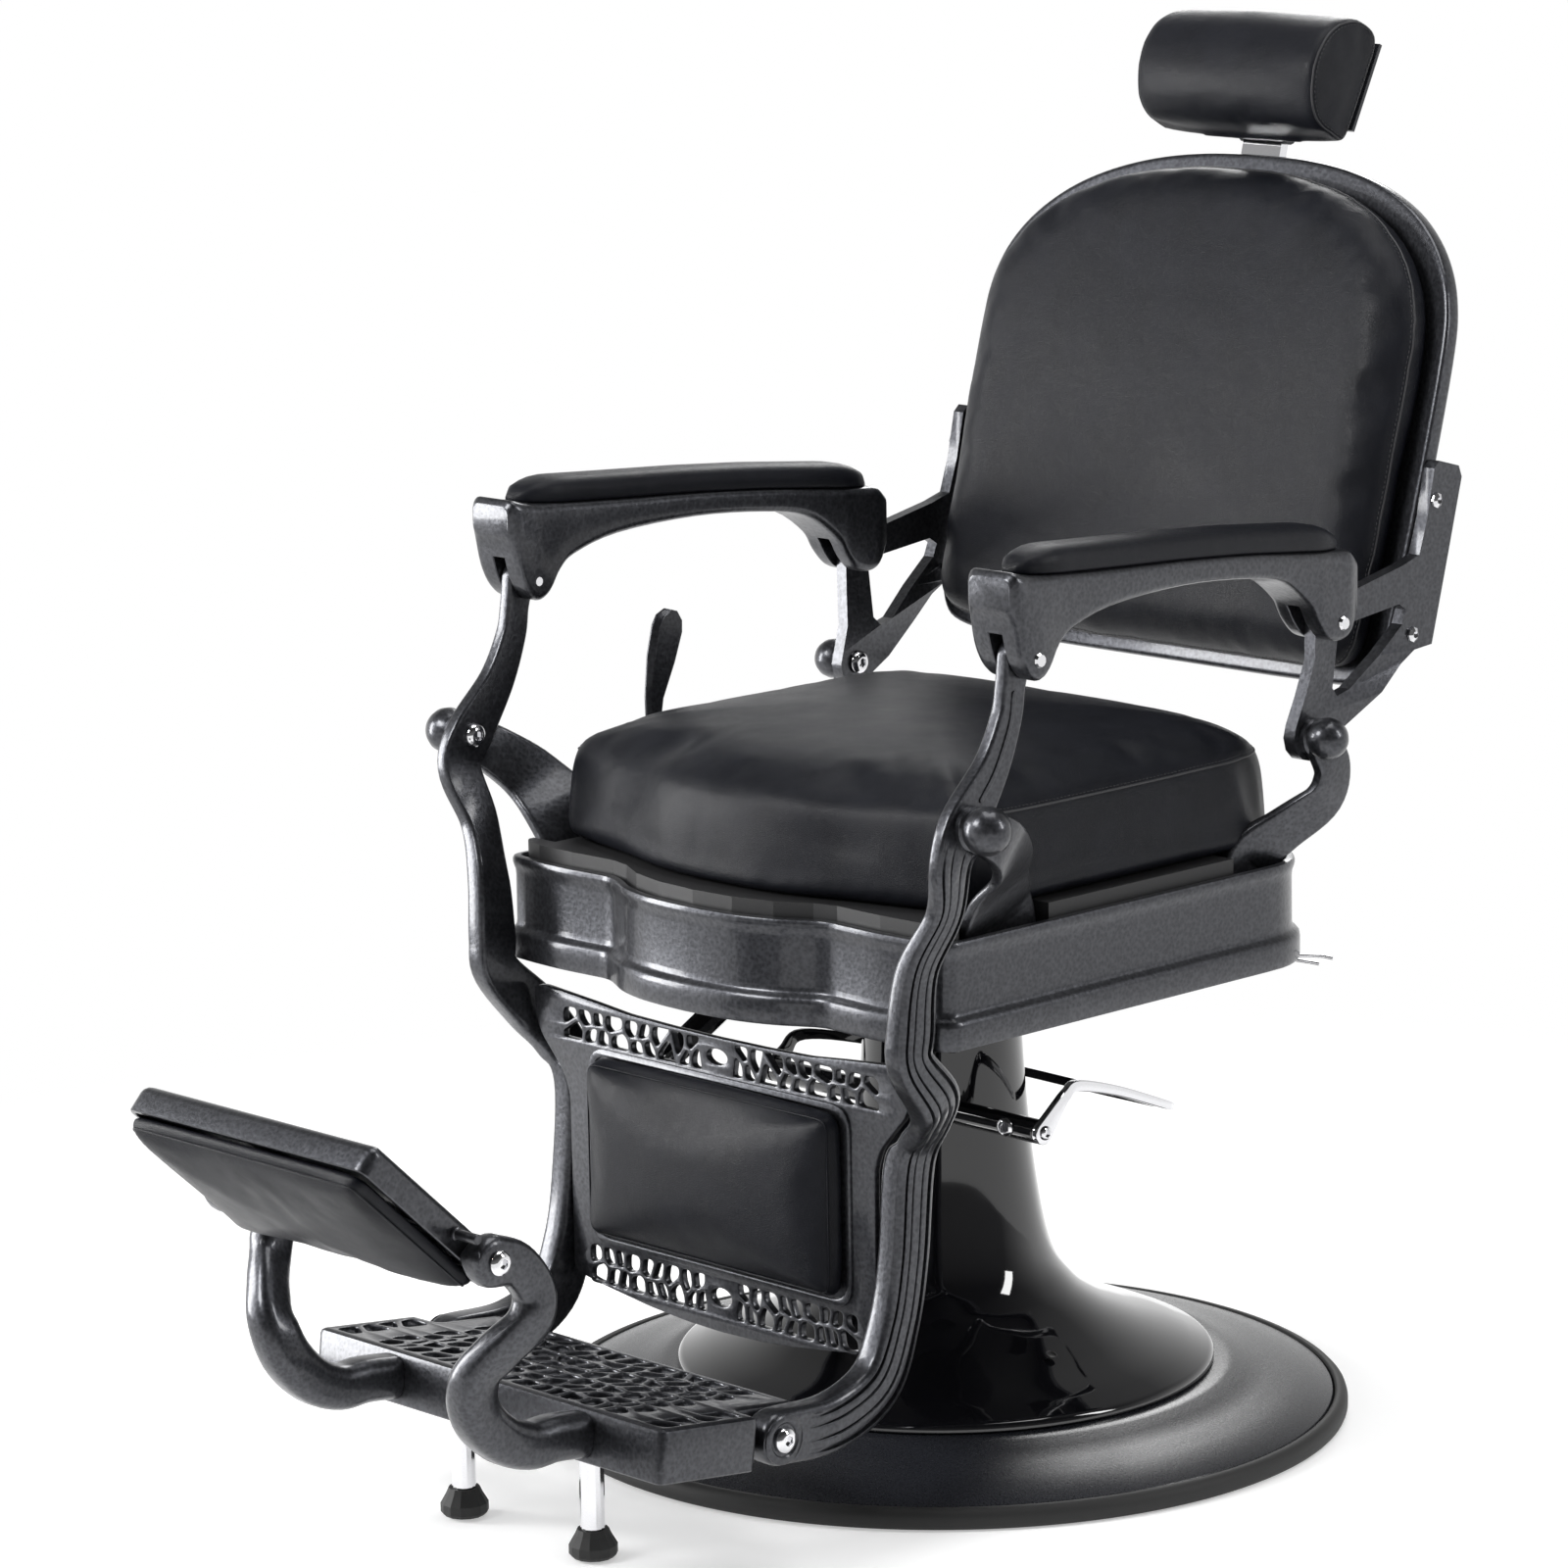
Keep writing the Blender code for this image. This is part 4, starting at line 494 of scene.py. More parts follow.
def apron_plan():
    """Counter-clockwise plan of the seat casting from the front middle."""
    bow = [(0.0, 0.0405), (0.030, 0.0392), (0.060, 0.0352), (0.088, 0.0262), (0.108, 0.0155), (0.122, 0.0082),
           (0.134, 0.0052), (0.150, 0.0056), (0.185, 0.0070), (0.220, 0.0056), (0.240, 0.0036)]
    right = [(x, APRON_FRONT - b) for x, b in smooth_rows(bow, 4)]
    for g in (12, 28, 45, 62, 78, 90):
        a = math.radians(g)
        right.append((0.2485 + 0.0135 * math.sin(a), APRON_FRONT + 0.0105 - 0.0135 * math.cos(a)))
    right += [(SEAT_X, y) for y in np.linspace(-0.20, 0.120, 7)]
    for g in range(8, 91, 8):
        a = math.radians(g)
        right.append((SEAT_X - 0.075 * (1 - math.cos(a)), APRON_REAR - 0.075 * (1 - math.sin(a))))
    right.append((0.10, APRON_REAR))
    right.append((0.0, APRON_REAR))
    return right + [(-x, y) for x, y in reversed(right[1:-1])]


z0, z1 = APRON_Z0, APRON_Z1
rail = [(0.0030, z0), (0.0056, z0 + 0.0008), (0.0068, z0 + 0.0030), (0.0069, z0 + 0.0195),
        (0.0064, z0 + 0.0228),
        (0.0044, z0 + 0.0252), (0.0016, z0 + 0.0270), (0.0004, z0 + 0.0292), (0.0, z0 + 0.0330),
        (-0.0002, z1 - 0.0170), (0.0003, z1 - 0.0120), (0.0016, z1 - 0.0086), (0.0024, z1 - 0.0056),
        (0.0024, z1 - 0.0026), (0.0014, z1 - 0.0006), (-0.0004, z1), (-0.0040, z1), (-0.0056, z1 - 0.0016),
        (-0.0060, z1 - 0.0050), (-0.0060, z0 + 0.0020), (-0.0046, z0 + 0.0002), (-0.0020, z0)]
plan = apron_plan()
piece("seat_casting", swept([[(x, y, z) for x, y in inward(plan, -d)] for d, z in rail], closed=True),
      CASTING, "seat", ["seat_apron"], 42)
for tag, s in (("L", 1), ("R", -1)):
    piece(f"apron_dome_bolt_{tag}", dome(0.0078, 0.0060, (s * 0.2460, -0.2380, APRON_Z0 + 0.0002),
                                         (0, 0, -1)),
          CHROME, "seat")

F_Y, F_Z, R_Y, R_Z, A_Y, A_Z, B_Y, B_Z = -0.2745, 0.600, 0.166, 0.606, 0.176, 0.704, -0.214, 0.728
LEG_X, LEG_T, BACK_X, BACK_XA, BACK_T = 0.2950, 0.0130, 0.2700, 0.2790, 0.0120


def knob(side, x, y, z, r):
    """Ball boss on the outer end of a pivot, with a short neck."""
    rows = [(0, -r * 0.2), (r * 0.86, -r * 0.2), (r * 0.86, r * 0.12), (r * 0.90, r * 0.30)]
    rows += [(r * math.cos(a), r + r * math.sin(a)) for a in np.radians([-38, -20, 0, 20, 40, 58, 74])]
    return spun([tuple(p) for p in rows] + [(0, 2 * r)], (side, 0, 0), (side * x, y, z), 40)


def front_post(side):
    xs = LEG_X + LEG_T / 2 + 0.0004
    rows = [(0.2395, -0.1845, 0.4464, 0.094, 0.014), (0.2395, -0.1845, 0.470, 0.094, 0.014),
            (0.2395, -0.1850, 0.492, 0.093, 0.014), (0.2440, -0.1900, 0.505, 0.089, 0.014),
            (0.2620, -0.2020, 0.532, 0.072, 0.013), (0.2900, -0.2160, 0.560, 0.052, 0.013),
            (0.3090, -0.2420, 0.583, 0.042, 0.012), (xs + 0.0070, F_Y + 0.004, F_Z - 0.001, 0.036, 0.0136)]
    return joined(swept(bar_rings(rows, 6, 0.28, round0=False, side=side)), knob(side, xs, F_Y, F_Z, 0.0200))


def rear_post(side):
    xr = BACK_X + BACK_T / 2 + 0.0004
    rows = [(0.2330, 0.1240, 0.4464, 0.052, 0.014), (0.2330, 0.1240, 0.470, 0.052, 0.014),
            (0.2332, 0.1245, 0.488, 0.052, 0.014), (0.2360, 0.1300, 0.503, 0.050, 0.014),
            (0.2520, 0.1560, 0.523, 0.044, 0.013), (0.2760, 0.1800, 0.549, 0.042, 0.013),
            (xr + 0.0076, 0.1840, 0.576, 0.038, 0.0126), (xr + 0.0076, R_Y + 0.006, R_Z - 0.006, 0.034,
                                                          0.0126)]
    return joined(swept(bar_rings(rows, 6, 0.30, round0=False, side=side)), knob(side, xr, R_Y, R_Z, 0.0180))


both_sides("front_upright", front_post, CASTING, "seat", ["front_post_#"])
both_sides("rear_upright", rear_post, CASTING, "seat", ["rear_post_#"])


# ---------------------------------------------------------------- leg levers
LEVER = [(LEG_X, B_Y, B_Z, 0.030, LEG_T), (LEG_X, -0.2190, 0.705, 0.0255, LEG_T),
         (LEG_X, -0.2240, 0.680, 0.0270, LEG_T), (LEG_X, -0.2420, 0.642, 0.0330, LEG_T),
         (LEG_X, F_Y, F_Z, 0.0460, LEG_T), (LEG_X - 0.0005, -0.2870, 0.572, 0.0410, 0.0135),
         (0.2790, -0.2800, 0.527, 0.0340, 0.0170), (0.2575, -0.2895, 0.480, 0.0360, 0.0200),
         (0.2520, -0.2920, 0.430, 0.0410, 0.0210), (0.2500, -0.2905, 0.402, 0.0390, 0.0220),
         (0.2420, -0.2560, 0.362, 0.0460, 0.0240), (0.2190, -0.2440, 0.332, 0.0440, 0.0250),
         (0.2000, -0.2430, 0.303, 0.0420, 0.0250), (0.1985, -0.2500, 0.225, 0.0410, 0.0250),
         (0.1975, -0.2610, 0.170, 0.0420, 0.0250), (0.1965, -0.2840, 0.124, 0.0460, 0.0250),
         (0.1960, -0.3350, 0.1035, 0.0470, 0.0255), (0.1960, -0.3990, 0.1060, 0.0450, 0.0260)]
MOULDING = [(0.470, 0.90), (0.405, 0.85), (0.385, 0.10), (0.355, 0.0), (0.215, 0.0), (0.195, 0.15),
            (0.182, 0.75),
            (0.158, 0.75), (0.145, 0.15), (0.125, 0.0)]
MOULDING += [(-u, d) for u, d in reversed(MOULDING)]


def moulded(w, t, f):
    """Lever section whose outer face carries three stepped ribs between F and the lower eye."""
    lift = 0.0042 * min(max((f - 0.26) / 0.06, 0), 1) * min(max((0.975 - f) / 0.03, 0), 1)
    c = min(w, t) * 0.24
    box = rounded_box(w, t, c)
    return box[:5] + [(u * (w - 2 * c), t / 2 - d * lift) for u, d in MOULDING] + box[5:]


def leg_lever(side):
    return swept(bar_rings(LEVER, 7, section=moulded, side=side))


def slot_bead(side, rows, x_face, w=0.0046, t=0.0022):
    """Slim raised bead on a flat face."""
    rows = [(x_face, y, z, w, t) for y, z in rows]
    return swept(bar_rings(rows, 5, 0.40, side=side))


both_sides("leg_lever_arm", leg_lever, CASTING, "leg", ["leg_lever_#"])
both_sides("lever_bead", lambda s: slot_bead(s, [(-0.2215, 0.700), (-0.2260, 0.676), (-0.2425, 0.642),
                                                 (-0.2600, 0.620)], LEG_X + LEG_T / 2),
           CASTING, "leg")
both_sides("lever_eye_ring", lambda s: spun([(0.0135, 0), (0.0205, 0), (0.0205, 0.0010), (0.0190, 0.0020),
                                             (0.0150, 0.0020), (0.0135, 0.0008)], (s, 0, 0),
                                            (s * 0.2088, -0.399, 0.106), 48, True),
           CASTING, "leg")


# ---------------------------------------------------------------- leg panel
def leaf(cx, cy, a, b, degrees, n=20):
    """Oval opening."""
    t = math.radians(degrees)
    out = []
    for i in range(n):
        g = 2 * math.pi * i / n
        u, v = a * math.cos(g), b * math.sin(g)
        out.append((cx + u * math.cos(t) - v * math.sin(t), cy + u * math.sin(t) + v * math.cos(t)))
    return out


def clipped(poly, at, normal):
    """The part of a convex polygon on the side of the line that the normal points away from."""
    out = []
    for a, b in zip(poly, poly[1:] + poly[:1]):
        da = (a[0] - at[0]) * normal[0] + (a[1] - at[1]) * normal[1]
        db = (b[0] - at[0]) * normal[0] + (b[1] - at[1]) * normal[1]
        if da <= 0:
            out.append(a)
        if (da < 0 < db) or (db < 0 < da):
            t = da / (da - db)
            out.append((a[0] + (b[0] - a[0]) * t, a[1] + (b[1] - a[1]) * t))
    return out


def pebbles(x0, x1, z0, z1, columns, rows, web, keep_out=(), sway=0.32, lean=0.35):
    """Pebble-shaped openings parted by even webs, mirrored about x = 0."""
    seeds = []
    dx, dz = (x1 - x0) / columns, (z1 - z0) / rows
    for i in range(columns):
        for j in range(rows):
            k = i * 7 + j * 13
            u = x0 + dx * (i + 0.5 + sway * math.sin(k * 2.4 + 0.7) + (0.5 * (j % 2) - 0.25) * lean * 2)
            v = z0 + dz * (j + 0.5 + sway * math.sin(k * 1.7 + 2.1))
            seeds.append((u, v))
    whole = seeds + [(-u, v) for u, v in seeds] + list(keep_out)
    out = []
    for su, sv in seeds:
        poly = [(max(x0, web / 2), z0), (x1, z0), (x1, z1), (max(x0, web / 2), z1)]
        for ou, ov in whole:
            d = math.hypot(ou - su, ov - sv)
            if 1e-9 < d < 6 * max(dx, dz):
                n = ((ou - su) / d, (ov - sv) / d)
                poly = clipped(poly, (su + n[0] * (d - web) / 2, sv + n[1] * (d - web) / 2), n)
                if len(poly) < 3:
                    break
        if len(poly) > 2:
            area = 0.5 * sum(a[0] * b[1] - b[0] * a[1] for a, b in zip(poly, poly[1:] + poly[:1]))
            reach = max(math.dist(a, b) for a in poly for b in poly)
            if area > 2.2e-5 and area / reach > 0.0030:
                shape = cornered(poly, 0.009, 4)
                out += [shape, [(-u, v) for u, v in reversed(shape)]]
    return out


def band(z_low, z_high, half):
    """Pierced band with an oval in the middle."""
    mid, h = (z_low + z_high) / 2, z_high - z_low
    ring = [(0.0105 * math.cos(math.radians(g)), mid + 0.007 * math.sin(math.radians(g))) for g in range(0,
            360, 60)]
    return [leaf(0, mid, 0.0125, h * 0.25, 0)] + pebbles(0.0170, half, z_low, z_high, 9, 2, 0.0042, ring)


PANEL_Y = -0.2680
half_plan = [(0.0, 0.1240), (0.045, 0.1252), (0.09, 0.1290), (0.150, 0.1370), (0.1840, 0.1430),
             (0.1840, 0.2980),
             (0.1900, 0.3150), (0.2030, 0.3300), (0.2200, 0.3480), (0.2262, 0.3640), (0.2270, 0.3880),
             (0.2160, 0.3905), (0.150, 0.3850), (0.11, 0.3810), (0.055, 0.3795), (0.0, 0.3790)]
panel = half_plan + [(-x, z) for x, z in reversed(half_plan[1:-1])]
openings = band(0.3490, 0.3760, 0.190) + band(0.1385, 0.1705, 0.162)
panel_bm = pierced(cornered(panel, 0.006, 2), openings, 0.0070, lambda u, v, w: (u, PANEL_Y + 0.0035 + w, v))
pad_frame = cornered([(-0.158, 0.1745), (0.158, 0.1745), (0.158, 0.3465), (-0.158, 0.3465)], 0.022, 5)
frame_in = cornered([(-0.1520, 0.1805), (0.1520, 0.1805), (0.1520, 0.3405), (-0.1520, 0.3405)], 0.018, 5)
frame_bm = pierced(pad_frame, [frame_in], 0.0030, lambda u, v, w: (u, PANEL_Y - 0.0008 + w, v), 0.0010)
lugs = []
for x in (-0.1255, -0.0945):
    lug = bmesh.new()
    bmesh.ops.create_cube(lug, size=1.0, matrix=Matrix.Translation((x, -0.250, 0.3215))
                          @ Matrix.Diagonal((0.005, 0.026, 0.022, 1)))
    bmesh.ops.bevel(lug, geom=lug.edges[:], offset=0.0010, segments=2, affect="EDGES", profile=0.5,
                    material=-1)
    lugs.append(lug)
pin = spun([(0, -0.0155), (0.0036, -0.0155), (0.0036, 0.0155), (0, 0.0155)], (1, 0, 0),
           (-0.110, -0.245, 0.3215), 20)
piece("calf_panel", joined(panel_bm, frame_bm, pin, *lugs), CASTING, "leg", ["leg_panel"])


# ---------------------------------------------------------------- castings kept from the solids, edges eased
def dressed(node, width=0.0012, finish=None, segments=2):
    """The node's own shape with merged faces and rounded edges."""
    src = frame["nodes"][node]
    bm = bmesh.new()
    bm.from_mesh(src.data)
    bmesh.ops.remove_doubles(bm, verts=bm.verts[:], dist=2e-6)
    bmesh.ops.dissolve_limit(bm, angle_limit=math.radians(1.2), verts=bm.verts[:], edges=bm.edges[:])
    bmesh.ops.recalc_face_normals(bm, faces=bm.faces[:])
    entry = RECORDED[node]
    ob = piece(f"{node}_finished", bm, finish or SLOT_FINISH[entry[1]], entry[0], [node], 32)
    return eased(ob, width, segments, 32) if width else ob


SLOT_OF = {p["node"]: p["material_slot"] for p in frame["record"]["subparts"]}
RECORDED = {n: (b, SLOT_OF[n]) for b, ns in frame["record"]["behaviour"]["bodies"].items() for n in ns}

for node in ("seat_frame", "headrest_bracket"):
    dressed(node, 0.0010)
for tag in ("L", "R"):
    dressed(f"back_lever_{tag}", 0.0024)
dressed("recline_handle", 0.0012)
for node, finish in SLOT_OF.items():
    for used in frame["nodes"][node].material_slots:
        used.material = SLOT_FINISH[finish]


# ---------------------------------------------------------------- places on the turned parts
def tilted(degrees):
    a = math.radians(degrees)
    return math.sin(a), math.cos(a)


BACK_HALF, BACK_SIN, BACK_COS = 0.272, *tilted(15.4)
PLATE_SIN, PLATE_COS = tilted(7)
TRAY_SIN, TRAY_COS = tilted(137)
HEAD_SIN, HEAD_COS = tilted(27)


def back_place(u, v, w):
    w -= 0.028 * (1 - (u / BACK_HALF) ** 2)
    return (u, 0.2825 + v * BACK_SIN - w * BACK_COS, 0.625 + v * BACK_COS + w * BACK_SIN)


def tray_place(u, v, w):
    return (u, -0.662 + v * TRAY_COS + w * TRAY_SIN, 0.301 + v * TRAY_SIN - w * TRAY_COS)


def head_place(x, forward, up):
    return (x, 0.412 - forward * HEAD_COS + up * HEAD_SIN, 1.079 + forward * HEAD_SIN + up * HEAD_COS)


def plate_place(u, v, w):
    return (u, -0.399 - v * PLATE_COS + w * PLATE_SIN, 0.106 + v * PLATE_SIN + w * PLATE_COS)


def carved(bm, *cutters):
    """The form less the cutters."""
    objects = []
    for form in (bm, *cutters):
        mesh = bpy.data.meshes.new("blank")
        form.to_mesh(mesh)
        form.free()
        objects.append(bpy.data.objects.new("blank", mesh))
        bpy.context.scene.collection.objects.link(objects[-1])
    for cutter in objects[1:]:
        m = objects[0].modifiers.new("cut", "BOOLEAN")
        m.operation = "DIFFERENCE"
        m.solver = "EXACT"
        m.object = cutter
    mesh = bpy.data.meshes.new_from_object(objects[0].evaluated_get(bpy.context.evaluated_depsgraph_get()))
    for ob in objects:
        bpy.data.objects.remove(ob)
    out = bmesh.new()
    out.from_mesh(mesh)
    return out


def slab(low, high):
    bm = bmesh.new()
    centre = [(a + b) / 2 for a, b in zip(low, high)]
    bmesh.ops.create_cube(bm, size=1.0, matrix=Matrix.Translation(centre)
                          @ Matrix.Diagonal((*(abs(b - a) for a, b in zip(low, high)), 1)))
    return bm


# ---------------------------------------------------------------- armrests
ARM = [(-0.2430, 0.7950, 0.7700, 0.046), (-0.2385, 0.8000, 0.7600, 0.052), (-0.2320, 0.7985, 0.7350, 0.055),
       (-0.2240, 0.7965, 0.7190, 0.055), (-0.2120, 0.7945, 0.7105, 0.055), (-0.2000, 0.7935, 0.7160, 0.054),
       (-0.1880, 0.7930, 0.7330, 0.053), (-0.1700, 0.7920, 0.7455, 0.052), (-0.1200, 0.7890, 0.7580, 0.051),
       (-0.0300, 0.7840, 0.7625, 0.050), (0.0500, 0.7780, 0.7575, 0.050), (0.1000, 0.7730, 0.7480, 0.050),
       (0.1350, 0.7695, 0.7250, 0.049), (0.1480, 0.7680, 0.7060, 0.049), (0.1600, 0.7670, 0.6930, 0.048),
       (0.1750, 0.7655, 0.6885, 0.048), (0.1880, 0.7640, 0.6925, 0.048), (0.1985, 0.7560, 0.7100, 0.043)]


def arm_x(y):
    return LEG_X + (BACK_XA - LEG_X) * (y - B_Y) / (A_Y - B_Y)


def armrest(side):
    rings = []
    for y, top, low, w in smooth_rows(ARM, 4):
        c = min(0.0075, (top - low) * 0.28)
        rings.append([(side * (arm_x(y) + u), y, (top + low) / 2 + v) for u,
                      v in rounded_box(w, top - low, c)])
    front, rear = LEG_T / 2 + 0.0008, BACK_T / 2 + 0.0008
    return carved(swept(rings), slab((side * (LEG_X - front), -0.262, 0.70), (side * (LEG_X + front),
            -0.178, 0.7490)),
                  slab((side * (BACK_XA - rear), 0.139, 0.66), (side * (BACK_XA + rear), 0.25, 0.7400)))


both_sides("arm_casting", armrest, CASTING, "arm_#", ["armrest_#"], 0.0013)


# ---------------------------------------------------------------- foot plate, its arms and the tray
def plate_plan():
    half = [(0, -0.038), (0.182, -0.038), (0.182, 0.0265), (0.186, 0.0300), (0.211, 0.0310), (0.211, 0.137),
            (0, 0.137)]
    return cornered(half + [(-u, v) for u, v in reversed(half[1:-1])], 0.007, 4)


skirt_profile = [(0.0010, -0.022), (0, -0.0208), (0, 0.0175), (0.0012, 0.0205), (0.0042, 0.0220),
                 (0.0075, 0.0220),
                 (0.0075, 0.0165), (0.0070, 0.0150), (0.0070, -0.0208), (0.0060, -0.022)]
plate = [swept([[plate_place(u, v, w) for u, v in inward(plate_plan(), d)] for d, w in skirt_profile],
               closed=True)]
tread = pebbles(0.004, 0.172, -0.0280, 0.1270, 9, 7, 0.0052, sway=0.36)
tread = [h for h in tread if all(abs(u) < 0.172 for u, v in h)]
tread += [h for h in pebbles(0.1775, 0.2010, 0.0410, 0.1270, 1, 4, 0.0052)]
plate.append(pierced(inward(plate_plan(), 0.0060), tread, 0.0055, lambda u, v,
                     w: plate_place(u, v, 0.01915 + w), 0.0011))
for s in (1, -1):
    plate.append(spun([(0, -0.015), (0.0186, -0.015), (0.0196, -0.0138), (0.0196, 0.0175), (0, 0.0175)],
                      (0, PLATE_SIN, PLATE_COS), plate_place(s * 0.079, 0.0905, 0), 40))
    plate.append(pierced(cornered([(s * 0.1155 - s * 0.016, 0.110), (s * 0.1155 + s * 0.016, 0.110),
                                   (s * 0.1155 + s * 0.016, 0.134), (s * 0.1155 - s * 0.016, 0.134)], 0.003,
                                   2), [],
                         0.038, lambda u, v, w: plate_place(u, v, -0.0010 + w), 0.0008))
piece("step_plate", joined(*plate), CASTING, "foot", ["foot_plate"], 34)


def step_arm(side):
    root, mid = plate_place(0.1155, 0.1374, 0), plate_place(0.1155, 0.167, 0)
    rows = [(0.159, -0.662, 0.301, 0.042, 0.0225), (0.159, -0.637, 0.293, 0.036, 0.0240),
            (0.159, -0.618, 0.268, 0.034, 0.0260), (0.158, -0.622, 0.244, 0.035, 0.0290),
            (0.140, -0.640, 0.219, 0.036, 0.0320), (0.124, -0.651, 0.195, 0.038, 0.0340),
            (0.1165, -0.644, 0.165, 0.039, 0.0350), (0.1155, -0.621, 0.140, 0.039, 0.0350),
            (0.1155, -0.593, 0.127, 0.038, 0.0350), (*mid, 0.037, 0.0350), (*root, 0.037, 0.0350)]
    return swept(bar_rings(rows, 6, 0.36, round1=False, side=side))


both_sides("step_bracket", step_arm, CASTING, "foot", ["step_arm_#"])

tray_plan = cornered([(-0.144, -0.023), (0.144, -0.023), (0.144, 0.144), (-0.144, 0.144)], 0.011, 5)
tray_rows = [(0.0300, 0.0100), (0.0070, 0.0100), (0.0056, 0.0085), (0.0055, -0.0100), (0.0046, -0.0110),
             (0.0010, -0.0110),
             (0, -0.0100), (0, 0.0060), (0.0008, 0.0092), (0.0030, 0.0122), (0.0065, 0.0142),
             (0.0110, 0.0149),
             (0.0300, 0.0150)]
tray = [swept([[tray_place(u, v, w) for u, v in inward(tray_plan, d)] for d, w in tray_rows])]
stop_at = tray_place(0, 0.0310, 0.0025)
for s in (1, -1):
    tray.append(spun([(0, 0.0), (0.0088, 0.0), (0.0096, 0.001), (0.0096, 0.0150), (0, 0.0150)], (s, 0, 0),
                     (s * 0.1255, -0.662, 0.301), 32))
    tray.append(spun([(0, 0), (0.0056, 0), (0.0056, 0.0035), (0.0042, 0.0042), (0.0042, 0.0262),
                      (0.0036, 0.0270), (0, 0.0270)],
                     (s, 0, 0), (s * 0.1435, stop_at[1], stop_at[2]), 24))
piece("footrest_casting", joined(*tray), CASTING, "footrest", ["footrest_tray"], 34)


def leaned(rows, place, centre, crown, layers=(0.93, 0.82, 0.66, 0.46, 0.24, 0.08), power=2.0):
    """Rings of a crowned pad: (loop, height) rows, then a dome closing over the last one."""
    rings = [[place(u, v, h) for u, v in loop] for loop, h in rows]
    loop, h = rows[-1]
    for s in layers:
        rings.append([place(centre[0] + (u - centre[0]) * s, centre[1] + (v - centre[1]) * s,
                            h + crown * (1 - s ** power)) for u, v in loop])
    return swept(rings)


def remeshed(bm, voxel):
    """An even mesh over the closed form."""
    mesh = bpy.data.meshes.new("blank")
    bm.to_mesh(mesh)
    bm.free()
    ob = bpy.data.objects.new("blank", mesh)
    bpy.context.scene.collection.objects.link(ob)
    m = ob.modifiers.new("even", "REMESH")
    m.mode = "VOXEL"
    m.voxel_size = voxel
    dg = bpy.context.evaluated_depsgraph_get()
    out = bpy.data.meshes.new_from_object(ob.evaluated_get(dg))
    bpy.data.objects.remove(ob)
    return out


CLOTH_MASS, CLOTH_STRETCH, CLOTH_SHEAR, CLOTH_BEND = 0.25, 18, 8, 2.0
CLOTH_SHRINK, CLOTH_PRESSURE, CLOTH_FRAMES = 0.010, 4.0, 20


def stuffed(name, bm, held, cap, body, node, voxel=0.005):
    """A pad of stretched leather: even mesh, blown up by the cloth solver, capped, smoothed."""
    mesh = remeshed(bm, voxel)
    co = np.zeros(len(mesh.vertices) * 3)
    mesh.vertices.foreach_get("co", co)
    start = co.reshape(-1, 3).copy()
    ob = bpy.data.objects.new("blown", mesh)
    bpy.context.scene.collection.objects.link(ob)
    pins = ob.vertex_groups.new(name="held")
    for i in np.nonzero([held(Vector(p)) for p in start])[0]:
        pins.add([int(i)], 1.0, "REPLACE")
    cloth = ob.modifiers.new("stuffing", "CLOTH")
    s = cloth.settings
    s.quality = 6
    s.mass = CLOTH_MASS
    s.tension_stiffness = s.compression_stiffness = CLOTH_STRETCH
    s.shear_stiffness = CLOTH_SHEAR
    s.bending_stiffness = CLOTH_BEND
    s.use_pressure = True
    s.uniform_pressure_force = CLOTH_PRESSURE
    s.shrink_min = CLOTH_SHRINK
    s.vertex_group_mass = "held"
    s.effector_weights.gravity = 0.0
    cloth.collision_settings.use_collision = False
    cloth.point_cache.frame_start = 1
    cloth.point_cache.frame_end = CLOTH_FRAMES
    scene = bpy.context.scene
    for f in range(1, CLOTH_FRAMES + 1):
        scene.frame_set(f)
    blown = bpy.data.meshes.new_from_object(ob.evaluated_get(bpy.context.evaluated_depsgraph_get()))
    blown.vertices.foreach_get("co", co)
    end = co.reshape(-1, 3)
    step = end - start
    size = np.linalg.norm(step, axis=1, keepdims=True)
    keep = cap * np.tanh(size / cap) / np.maximum(size, 1e-9)
    bpy.data.objects.remove(ob)
    mesh.vertices.foreach_set("co", (start + step * keep).ravel())
    scene.frame_set(1)
    out = bmesh.new()
    out.from_mesh(mesh)
    for _ in range(5):
        bmesh.ops.smooth_vert(out, verts=out.verts[:], factor=0.5, use_axis_x=True, use_axis_y=True,
                              use_axis_z=True)
    ob = piece(name, out, LEATHER, body, [node], 0)
    return ob


